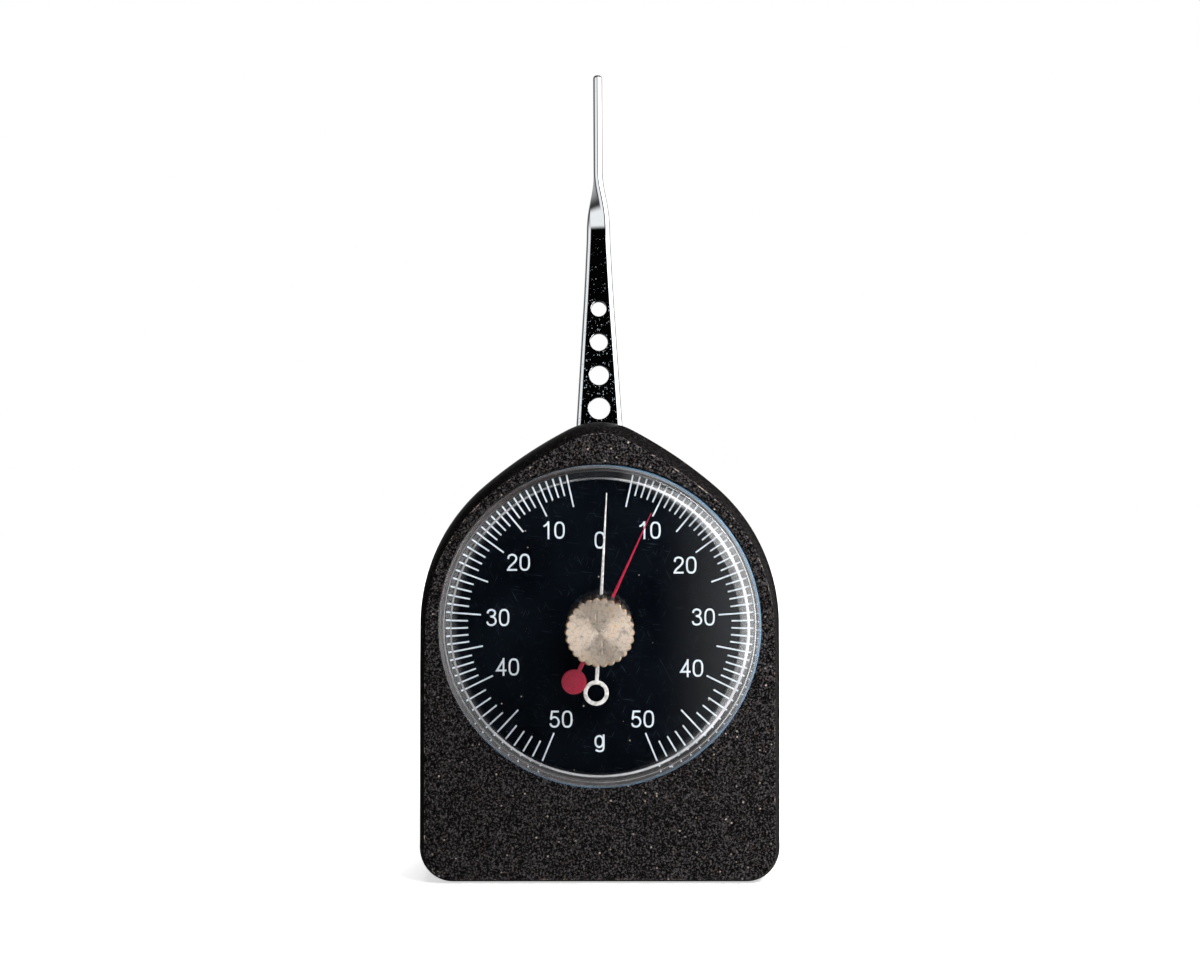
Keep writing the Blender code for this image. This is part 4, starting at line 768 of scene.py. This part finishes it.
def ribbon(line, half, low, high, edge, closed=False):
    # A low rounded bar carried along a flat line; at a corner its sides meet in a mitre
    line = np.asarray(line, float)
    ahead = np.roll(line, -1, axis=0) - line
    if not closed:
        ahead[-1] = ahead[-2]
    ahead /= np.linalg.norm(ahead, axis=1, keepdims=True)
    behind = np.roll(ahead, 1, axis=0)
    if not closed:
        behind[0] = ahead[0]
    aside = (ahead + behind)[:, ::-1] * (1, -1)
    aside /= np.linalg.norm(aside, axis=1, keepdims=True)
    mitre = 1 / np.clip((aside * ahead[:, ::-1] * (1, -1)).sum(1), marks["leastMitre"], 1)
    section = [(-1, 0, low), (-1, 0, high + edge), (-1, edge, high), (1, -edge, high), (1, 0, high + edge),
               (1, 0, low)]
    grid = np.stack([atDepth(line + aside * ((way * half + inward) * mitre)[:, None], depth)
                     for way, inward, depth in section], axis=1)
    return skin(grid, closedRows=True) if closed else skin(capped(grid))


def makeTicks():
    # A tick stands at every bearing and at equal steps between them, and again mirrored
    bearings = np.array(marks["bearings"])
    share = np.arange(1, marks["between"] + 1) / (marks["between"] + 1)
    short = (bearings[:-1, None] + np.diff(bearings)[:, None] * share).ravel()
    angle = np.radians(np.concatenate([bearings, short]))
    inner = np.concatenate([np.full(len(bearings), marks["long"]), np.full(len(short), marks["short"])])
    angle, inner = np.concatenate([angle, -angle]), np.concatenate([inner, inner])
    half, edge = marks["tickWidth"] / 2, marks["edge"] / 2
    low, high = marks["front"] + marks["sunk"], marks["front"] - marks["ink"]
    # Eight corners of each tick, as (side, along, depth): four on the plate and four, drawn in, on top
    form = np.array([(-half, 0, low), (half, 0, low), (half, 1, low), (-half, 1, low),
                     (edge - half, 0, high), (half - edge, 0, high), (half - edge, 1, high),
                     (edge - half, 1, high)])
    reach = inner[:, None] + (marks["outer"] - inner)[:, None] * form[:, 1]
    reach[:, 4:6] += edge
    reach[:, 6:] -= edge
    way, across = np.stack([np.sin(angle), np.cos(angle)], 1), np.stack([np.cos(angle), -np.sin(angle)], 1)
    points = atDepth(way[:, None] * reach[..., None] + across[:, None] * form[None, :, :1], form[:, 2])
    block = np.array([(0, 1, 2, 3), (4, 7, 6, 5), (0, 4, 5, 1), (1, 5, 6, 2), (2, 6, 7, 3), (3, 7, 4, 0)])
    faces = (np.arange(len(angle)) * 8)[:, None, None] + block
    return points.reshape(-1, 3), faces.reshape(-1, 4)


def makeNumerals():
    # Each figure's lines, scaled to the height of the numerals and set side by side about a numeral's middle
    parts = []
    size, low = marks["capHeight"], marks["front"] + marks["sunk"]
    for word, side, height in marks["numerals"]:
        width = (len(word) - 1) * marks["advance"] + marks["digitWidth"]
        for place, figure in enumerate(word):
            corner = np.array([side, height]) + size * np.array([place * marks["advance"] - width / 2, -0.5])
            for rank, (kind, points) in enumerate(figures[figure]):
                line = points if kind == "straight" else bend(points, kind == "loop")
                line = corner + size * np.asarray(line)
                high = marks["front"] - marks["ink"] * (1 - marks["rankDrop"] * rank)  # strokes share no face
                parts.append(ribbon(line, marks["stroke"] / 2, low, high, marks["edge"], kind == "loop"))
    return parts


def makePaintedTickDots():
    # A small ink dot on the seal below the lens's foot for each tick end: a painted image of the tick
    # ends, which the foot shows again low on the dial by refraction
    paintedTickDots, bearings = marks["paintedTickDots"], np.array(marks["bearings"])
    profile = [(0.0, paintedTickDots["back"]), (paintedTickDots["radius"], paintedTickDots["back"]), (paintedTickDots["radius"], paintedTickDots["edge"]),
               (0.0, paintedTickDots["front"])]
    count = (len(bearings) - 1) * (marks["between"] + 1)
    ends = np.interp(np.arange(count + 1) / (marks["between"] + 1), np.arange(len(bearings)), bearings)
    ends = np.radians(np.concatenate([ends[ends > paintedTickDots["from"]], -ends[ends > paintedTickDots["until"]]]))
    places = paintedTickDots["reach"] * np.stack([np.sin(ends), np.cos(ends)], axis=1)
    return [skin(turned(profile, 12, place)) for place in places]


fit(makeObject("dial_marks", [makeTicks()] + makeNumerals() + makePaintedTickDots(), dialHeight, sharp=20),
    finishes["dial_marks"], "root", "dial_print")


# Hands: a needle, a round boss, a stem and a tail, each a thin plate with soft edges
hands = {
    "main": {"node": "main_pointer", "front": 0.80, "back": 1.05, "reach": 18.4, "tip": 0.075, "root": 0.26,
             "boss": 2.0, "bore": 1.05, "tail": 9.6, "tailOuter": 1.77, "tailInner": 1.21, "stem": 0.26,
             "stemEnd": 8.19, "finish": "white_enamel", "body": "pointer"},
    "drag": {"node": "drag_pointer", "front": -0.45, "back": -0.20, "reach": 17.2, "tip": 0.05, "root": 0.25,
             "boss": 2.0, "bore": 0.95, "tail": 8.57, "tailOuter": 1.73, "tailInner": 0.0, "stem": 0.29,
             "stemEnd": 8.57, "finish": "red_enamel", "body": "drag"},
}


def needle(start, end, startHalf, endHalf, front, back, rows=40, squareness=0.55):
    # A tapering bar along Z: its section is a ring of sixteen points, nearly a rectangle, whose half width
    # changes evenly with the height
    turn = np.linspace(0, 2 * np.pi, 16, endpoint=False) + np.pi / 16
    wide, deep = [np.sign(wave) * np.abs(wave) ** squareness for wave in (np.cos(turn), np.sin(turn))]
    height = np.broadcast_to(np.linspace(start, end, rows)[:, None], (rows, len(turn)))
    flat = np.stack([np.linspace(startHalf, endHalf, rows)[:, None] * wide, height], axis=-1)
    return skin(capped(atDepth(flat, (front + back) / 2 + (back - front) / 2 * deep)))


def plateRing(inner, outer, front, back, centre, count=96, softness=0.35):
    # A flat ring or disc with softly rounded edges, turned about an axis along Y
    edge = (back - front) * softness
    radii = [edge if inner else 0.0, edge, edge, edge if inner else 0.0]
    profile = roundCorners(rectangle(inner, outer, front, back), radii, 4, closed=bool(inner))
    return skin(turned(profile, count, centre), closedRows=bool(inner))


def makeHand(name, thinner=0.012):
    # The needle and the stem are a little thinner than the boss and the tail, so that they share no face
    hand = hands[name]
    front, back, tail = hand["front"], hand["back"], (0, -hand["tail"])
    turn = readings[hand["body"]]
    lip = (hand["bore"] + hand["boss"]) / 2
    boss = plateRing(hand["bore"], hand["boss"], front, back, (0, 0))
    piece = makeObject(name + "_hand", [boss], dialHeight, turn)
    plate = (front + thinner, back - thinner)
    parts = [needle(lip, hand["reach"], hand["root"], hand["tip"], *plate),
             needle(-lip, -hand["stemEnd"], hand["stem"], hand["stem"], *plate, 12),
             plateRing(hand["tailInner"], hand["tailOuter"], front, back, tail)]
    carve(piece, [makeObject("part", [part], dialHeight, turn) for part in parts], "UNION")
    return fit(piece, finishes[hand["finish"]], hand["body"], hand["finish"], hand["node"])


makeHand("main")
makeHand("drag")

# Knob: a crowned face, an edge of round lobes with narrow valleys, and a recess for its washer. Each dent
# is a knock in the face: its place across and up, its width, height and depth
knob = {"radius": 4.65, "back": -2.95, "front": -7.6, "crown": 0.15, "chamfer": 0.3, "heel": 0.15,
        "lobes": 26, "sideGap": 0.05, "sideRows": 12, "faceRows": 40, "hollowEdge": 0.08,
        "lobePoints": 20, "lobeDepth": 0.26, "recess": 3.0, "recessDepth": 0.6, "bore": 0.95,
        "boreDepth": 3.2, "lobeStart": 0.86, "lobeRise": 0.1,
        "dents": ((-1.44, 1.85, 0.22, 0.22, 0.08), (-0.45, 2.15, 0.12, 0.5, 0.06),
                  (0.4, -1.5, 0.12, 0.5, 0.06),
                  (0.45, -2.5, 0.15, 0.3, 0.05), (2.0, 0.9, 0.2, 0.2, 0.03), (0.0, 0.0, 0.25, 0.22, 0.08))}


def makeKnob():
    edge, front, back, outer, heel = [knob[key] for key in ("chamfer", "front", "back", "radius", "heel")]
    share = np.linspace(0, 1, knob["faceRows"])[:, None]
    face = np.concatenate([share * (outer - edge), front - knob["crown"] * (1 - share ** 2)], axis=1)
    lip = (outer, front) + edge * quarter(8)[1:, ::-1] * (-1, 1)
    ends = (front + edge + knob["sideGap"], back - heel - knob["sideGap"])
    side = [(outer, depth) for depth in np.linspace(*ends, knob["sideRows"])]
    foot = (outer, back) - heel * quarter(6)
    floor, end = back - knob["recessDepth"], back - knob["boreDepth"]
    hollow = [(outer, back), (knob["recess"], back), (knob["recess"], floor), (knob["bore"], floor),
              (knob["bore"], end), (0.0, end)]
    hollow = roundCorners(hollow, [0, *[knob["hollowEdge"]] * 4, 0], 4, closed=False)[1:]
    profile = np.concatenate([face, lip, side, foot, hollow])
    angles = np.linspace(0, 2 * np.pi, knob["lobes"] * knob["lobePoints"], endpoint=False)
    radius = profile[:, :1]
    # The edge draws in by the lobe depth in each valley and by nothing at the top of each lobe, and the
    # lobes come in smoothly towards the edge
    rim = np.clip((radius / outer - knob["lobeStart"]) / knob["lobeRise"], 0, 1)
    lobe = knob["lobeDepth"] * (1 - np.abs(np.sin(knob["lobes"] / 2 * angles)))
    reach = radius - rim * rim * (3 - 2 * rim) * lobe
    x, z = reach * np.sin(angles), reach * np.cos(angles)
    y = np.broadcast_to(profile[:, 1:], x.shape).copy()
    for across, up, wide, tall, deep in knob["dents"]:  # each a small bell-shaped pit
        y[:len(face)] += (deep * np.exp(-((x - across) / wide) ** 2 - ((z - up) / tall) ** 2))[:len(face)]
    piece = makeObject("knob", [skin(np.stack([x, y, z], axis=-1))], dialHeight, sharp=50)
    return fit(piece, finishes["knob_nickel"], "drag", "knob_nickel", "reset_knob")


makeKnob()

# Feeler arm: a strip with full-round edges, tapered, pierced and twisted a quarter turn
arm = {"middle": 7.0, "thickness": 1.3, "pivotWidth": 8.2, "heights": (0.0, 31.0, 38.7, 62.6),
       "widths": (8.2, 4.2, 3.43, 2.7), "twist": -90.0, "twistStart": 38.7, "twistEnd": 48.4, "reach": 62.6,
       "holeTop": 28.6, "holePitch": 4.83, "holes": 4, "holeShare": 0.5, "holeEdge": 0.04, "bore": 1.15,
       "leastWidth": 0.02, "rivetBore": 0.65, "rivetSide": 2.3, "rivetEdge": 0.05}


def makeArm():
    middle, twistStart, twistEnd, reach = [arm[key] for key in ("middle", "twistStart", "twistEnd", "reach")]
    half, pivot = arm["thickness"] / 2, arm["pivotWidth"] / 2
    rise = np.concatenate([-pivot * np.cos(np.linspace(0, np.pi / 2, 20))[:-1],
                           np.linspace(0, twistStart, 14)[:-1], np.linspace(twistStart, twistEnd, 90)[:-1],
                           np.linspace(twistEnd, reach - half, 16)[:-1], reach - half * quarter(14)[:, 1]])
    width = np.interp(rise, arm["heights"], arm["widths"])
    rounded = 2 * np.sqrt(np.maximum(0, pivot ** 2 - np.minimum(rise, 0) ** 2))
    width = np.where(rise < 0, np.minimum(width, np.maximum(rounded, arm["leastWidth"])), width)
    left = np.clip((reach - rise) / half, 0, 1)
    shrink = np.sqrt(np.maximum(0, 1 - (1 - left) ** 2))  # a round nose on the tip
    edge = half * np.minimum(shrink, np.minimum(1, width / arm["thickness"]))
    flat = np.maximum(width / 2 * (0.5 + 0.5 * shrink) - half, 0) * (shrink > 0)
    # One section: a flat on each side and a half circle at each edge, with points beside the joins
    turn = np.linspace(np.pi / 2, -np.pi / 2, 17)
    across = np.concatenate([[-1, 1], np.ones(17), [1, -1], -np.ones(17)])
    join = np.concatenate([[beside, -beside], np.zeros(17), [-beside, beside], np.zeros(17)])
    bulge = np.concatenate([[0, 0], np.cos(turn), [0, 0], -np.cos(turn)])
    through = np.concatenate([[1, 1], np.sin(turn), [-1, -1], -np.sin(turn)])
    side = flat[:, None] * across + join + edge[:, None] * bulge
    deep = edge[:, None] * through
    # The section turns about the strip's middle line, slowly at both ends of the twist
    share = np.clip((rise - twistStart) / (twistEnd - twistStart), 0, 1)
    angle = np.radians(arm["twist"]) * (share * share * (3 - 2 * share))[:, None]
    flatPoints = np.stack([side * np.cos(angle) - deep * np.sin(angle),
                           np.broadcast_to(rise[:, None], side.shape)], axis=-1)
    grid = atDepth(flatPoints, middle + side * np.sin(angle) + deep * np.cos(angle))
    grid = capped(grid, (0.0, middle, -pivot), (0.0, middle, reach))
    piece = makeObject("feeler", [skin(grid)], armHeight, readings["arm"])

    holes = []
    for number in range(arm["holes"]):
        height = arm["holeTop"] - arm["holePitch"] * number
        holes.append((np.interp(height, arm["heights"], arm["widths"]) * arm["holeShare"] / 2, (0, height),
                      arm["holeEdge"]))
    holes.append((arm["bore"], (0, 0), arm["holeEdge"]))
    holes += [(arm["rivetBore"], (side * arm["rivetSide"], 0), arm["rivetEdge"]) for side in (-1, 1)]
    tools = []
    for radius, place, edge in holes:  # each hole is countersunk a little on both sides
        front, back, wide = middle - half, middle + half, radius + edge + 1
        profile = [(0.0, front - 1), (wide, front - 1), (radius, front + edge), (radius, back - edge),
                   (wide, back + 1), (0.0, back + 1)]
        tools.append(makeObject("hole", [skin(turned(profile, 72, place))], armHeight, readings["arm"]))
    carve(piece, tools)
    return fit(piece, finishes["chrome_plate"], "arm", "chrome_plate", "feeler_arm")


makeArm()

# Stage: a pale floor in a white studio, lamps as (name, place, size, watts), and the photograph's camera
stage = {"floor": 900.0, "floorDrop": 0.02, "floorColour": "#f4f4f4", "floorGlow": (0.62, 1.0),
         "glowReach": (30.0, 150.0), "aim": (0.0, 0.0, 50.0),
         "lamps": (("near lamp", (74.0, -48.0, 112.0), 70.0, 0.31),
                   ("left lamp", (-330.0, -300.0, 330.0), 260.0, 0.04),
                   ("back lamp", (0.0, 330.0, 420.0), 300.0, 1.5)),
         "lens": 31.785,  # 1059.5 pixels of the photograph on a sensor that is 1200 pixels wide
         "sensor": 36.0, "nearClip": 5.0, "cameraPlace": (0.04, -154.9, 56.6)}

# What the world gives along a way, step by step. "EASE" leads smoothly from 0 to 1, or between two other
# levels, while a value goes from a start to an end; "BLEND" mixes two values by a share; the others are
# plain sums
studioSteps = (
    ("front", "MULTIPLY", "back", -1.0),
    ("leftward", "MULTIPLY", "across", -1.0),
    ("height", "ABSOLUTE", "up"),
    # A dark gap round the camera
    ("gapLeft", "EASE", "leftward", 0.36, 0.17),
    ("gapRight", "EASE", "across", 0.20, 0.05),
    ("gapHigh", "EASE", "height", 0.58, 0.44),
    ("ahead", "GREATER_THAN", "front", 0.0),
    ("gap", "MULTIPLY", "gapLeft", "gapRight"),
    ("gap", "MULTIPLY", "gap", "gapHigh"),
    ("gap", "MULTIPLY", "gap", "ahead"),
    # White walls that darken to the rear; the left one is paler straight behind, the right one bright beside
    ("behind", "EASE", "back", 0.1, 0.95, 0.0, 0.35),
    ("aboveFloor", "EASE", "up", 0.02, 0.15),
    ("behind", "MULTIPLY", "behind", "aboveFloor"),
    ("left", "EASE", "back", -0.45, 0.05, 1.0, 0.05),
    ("left", "ADD", "left", "behind"),
    ("right", "EASE", "back", 0.25, 0.5, 1.0, 0.03),
    ("bright", "EASE", "across", 0.5, 0.7, 1.0, 2.8),
    ("right", "MULTIPLY", "right", "bright"),
    ("rightShare", "EASE", "across", -0.1, 0.1),
    ("room", "BLEND", "rightShare", "left", "right"),
    ("ceiling", "EASE", "up", 0.42, 0.62, 1.0, 0.3),
    ("room", "MULTIPLY", "room", "ceiling"),
    ("room", "BLEND", "gap", "room", 0.001),
    # A long curved soft light on the right: part of a ring about the line of sight
    ("bearing", "ARCTAN2", "across", "up"),
    ("bearing", "SUBTRACT", "bearing", math.radians(77.5)),
    ("bearing", "ABSOLUTE", "bearing"),
    ("panel", "EASE", "bearing", math.radians(70.0), math.radians(60.0), 0.0, 1.7),
    ("panelFar", "EASE", "front", 0.48, 0.58),
    ("panelNear", "EASE", "front", 0.975, 0.95),
    ("panel", "MULTIPLY", "panel", "panelFar"),
    ("panel", "MULTIPLY", "panel", "panelNear"),
    # Mirrors and glass show all of that, matt surfaces get one even level, and the camera sees plain white
    ("shown", "ADD", "room", "panel"),
    ("mirrored", "MAXIMUM", "glossy", "through"),
    ("level", "BLEND", "mirrored", 0.15, "shown"),
    ("level", "BLEND", "camera", "level", 1.0),
)


def makeWorld():
    world = bpy.data.worlds.new("studio")
    world.use_nodes = True
    scene.world = world
    tree = world.node_tree
    tree.nodes.clear()
    rays = addNode(tree, "LightPath", {})
    names = {"camera": "Is Camera Ray", "glossy": "Is Glossy Ray", "through": "Is Transmission Ray"}
    known = {name: rays[output] for name, output in names.items()}
    way = addNode(tree, "TexCoord", {})["Generated"]
    known["across"], known["back"], known["up"] = addNode(tree, "SeparateXYZ", {0: way})
    for name, step, *values in studioSteps:
        values = [known.get(value, value) for value in values]
        if step == "EASE":
            made = addNode(tree, "MapRange", {"interpolation_type": "SMOOTHSTEP", (0, 1, 2, 3, 4): values})
        elif step == "BLEND":
            made = addNode(tree, "Mix", {(0, 2, 3): values})
        else:
            made = addNode(tree, "Math", {"operation": step, (0, 1): values})
        known[name] = made[0]
    light = addNode(tree, "Background", {"Color": (1, 1, 1, 1), "Strength": known["level"]})[0]
    addNode(tree, "OutputWorld", {"Surface": light})


def makeFloor():
    half, low = stage["floor"] * millimetre, -stage["floorDrop"] * millimetre
    mesh = bpy.data.meshes.new("floor")
    mesh.from_pydata([(-half, -half, low), (half, -half, low), (half, half, low), (-half, half, low)], [],
                     [(0, 1, 2, 3)])
    floor = bpy.data.objects.new("floor", mesh)
    scene.collection.objects.link(floor)
    # A matt board, which glows more away from the object for the camera, so that it runs into the white
    # behind it and keeps the shadow near it
    material, tree, place = startMaterial("matt white board")
    board = addNode(tree, "BsdfDiffuse", {"Color": colour(stage["floorColour"])})[0]
    away = addNode(tree, "VectorMath", {"operation": "LENGTH", 0: place})["Value"]
    reach = [part * millimetre for part in stage["glowReach"]]
    level = addNode(tree, "MapRange", {"interpolation_type": "SMOOTHSTEP", 0: away, (1, 2): reach,
                                       (3, 4): stage["floorGlow"]})[0]
    seen = addNode(tree, "LightPath", {})["Is Camera Ray"]
    share = addNode(tree, "Math", {"operation": "MULTIPLY", (0, 1): (seen, level)})[0]
    glow = addNode(tree, "Emission", {"Strength": share})[0]
    both = addNode(tree, "AddShader", {(0, 1): (board, glow)})[0]
    addNode(tree, "OutputMaterial", {"Surface": both})
    mesh.materials.append(material)
    floor.visible_glossy = False  # mirrors show the white surroundings in its place
    floor.visible_transmission = False


def makeLamps():
    for name, place, size, power in stage["lamps"]:
        lamp = bpy.data.lights.new(name, "AREA")
        lamp.shape = "SQUARE"
        lamp.size = size * millimetre
        lamp.energy = power
        holder = bpy.data.objects.new(name, lamp)
        holder.visible_camera = False
        holder.visible_glossy = False  # mirrors show the studio's own soft light instead
        scene.collection.objects.link(holder)
        away = np.subtract(place, stage["aim"])
        away /= np.linalg.norm(away)
        holder.location = [part * millimetre for part in place]
        holder.rotation_euler = (math.acos(away[2]), 0.0, math.atan2(away[0], -away[1]))


def makeCamera():
    view = bpy.data.cameras.new("camera")
    view.lens = stage["lens"]
    view.sensor_width = stage["sensor"]
    view.clip_start = stage["nearClip"] * millimetre
    holder = bpy.data.objects.new("camera", view)
    holder.location = [part * millimetre for part in stage["cameraPlace"]]
    holder.rotation_euler = (math.pi / 2, 0.0, 0.0)
    scene.collection.objects.link(holder)
    scene.camera = holder


makeFloor()
makeWorld()
makeLamps()
makeCamera()

print("finished the scene")
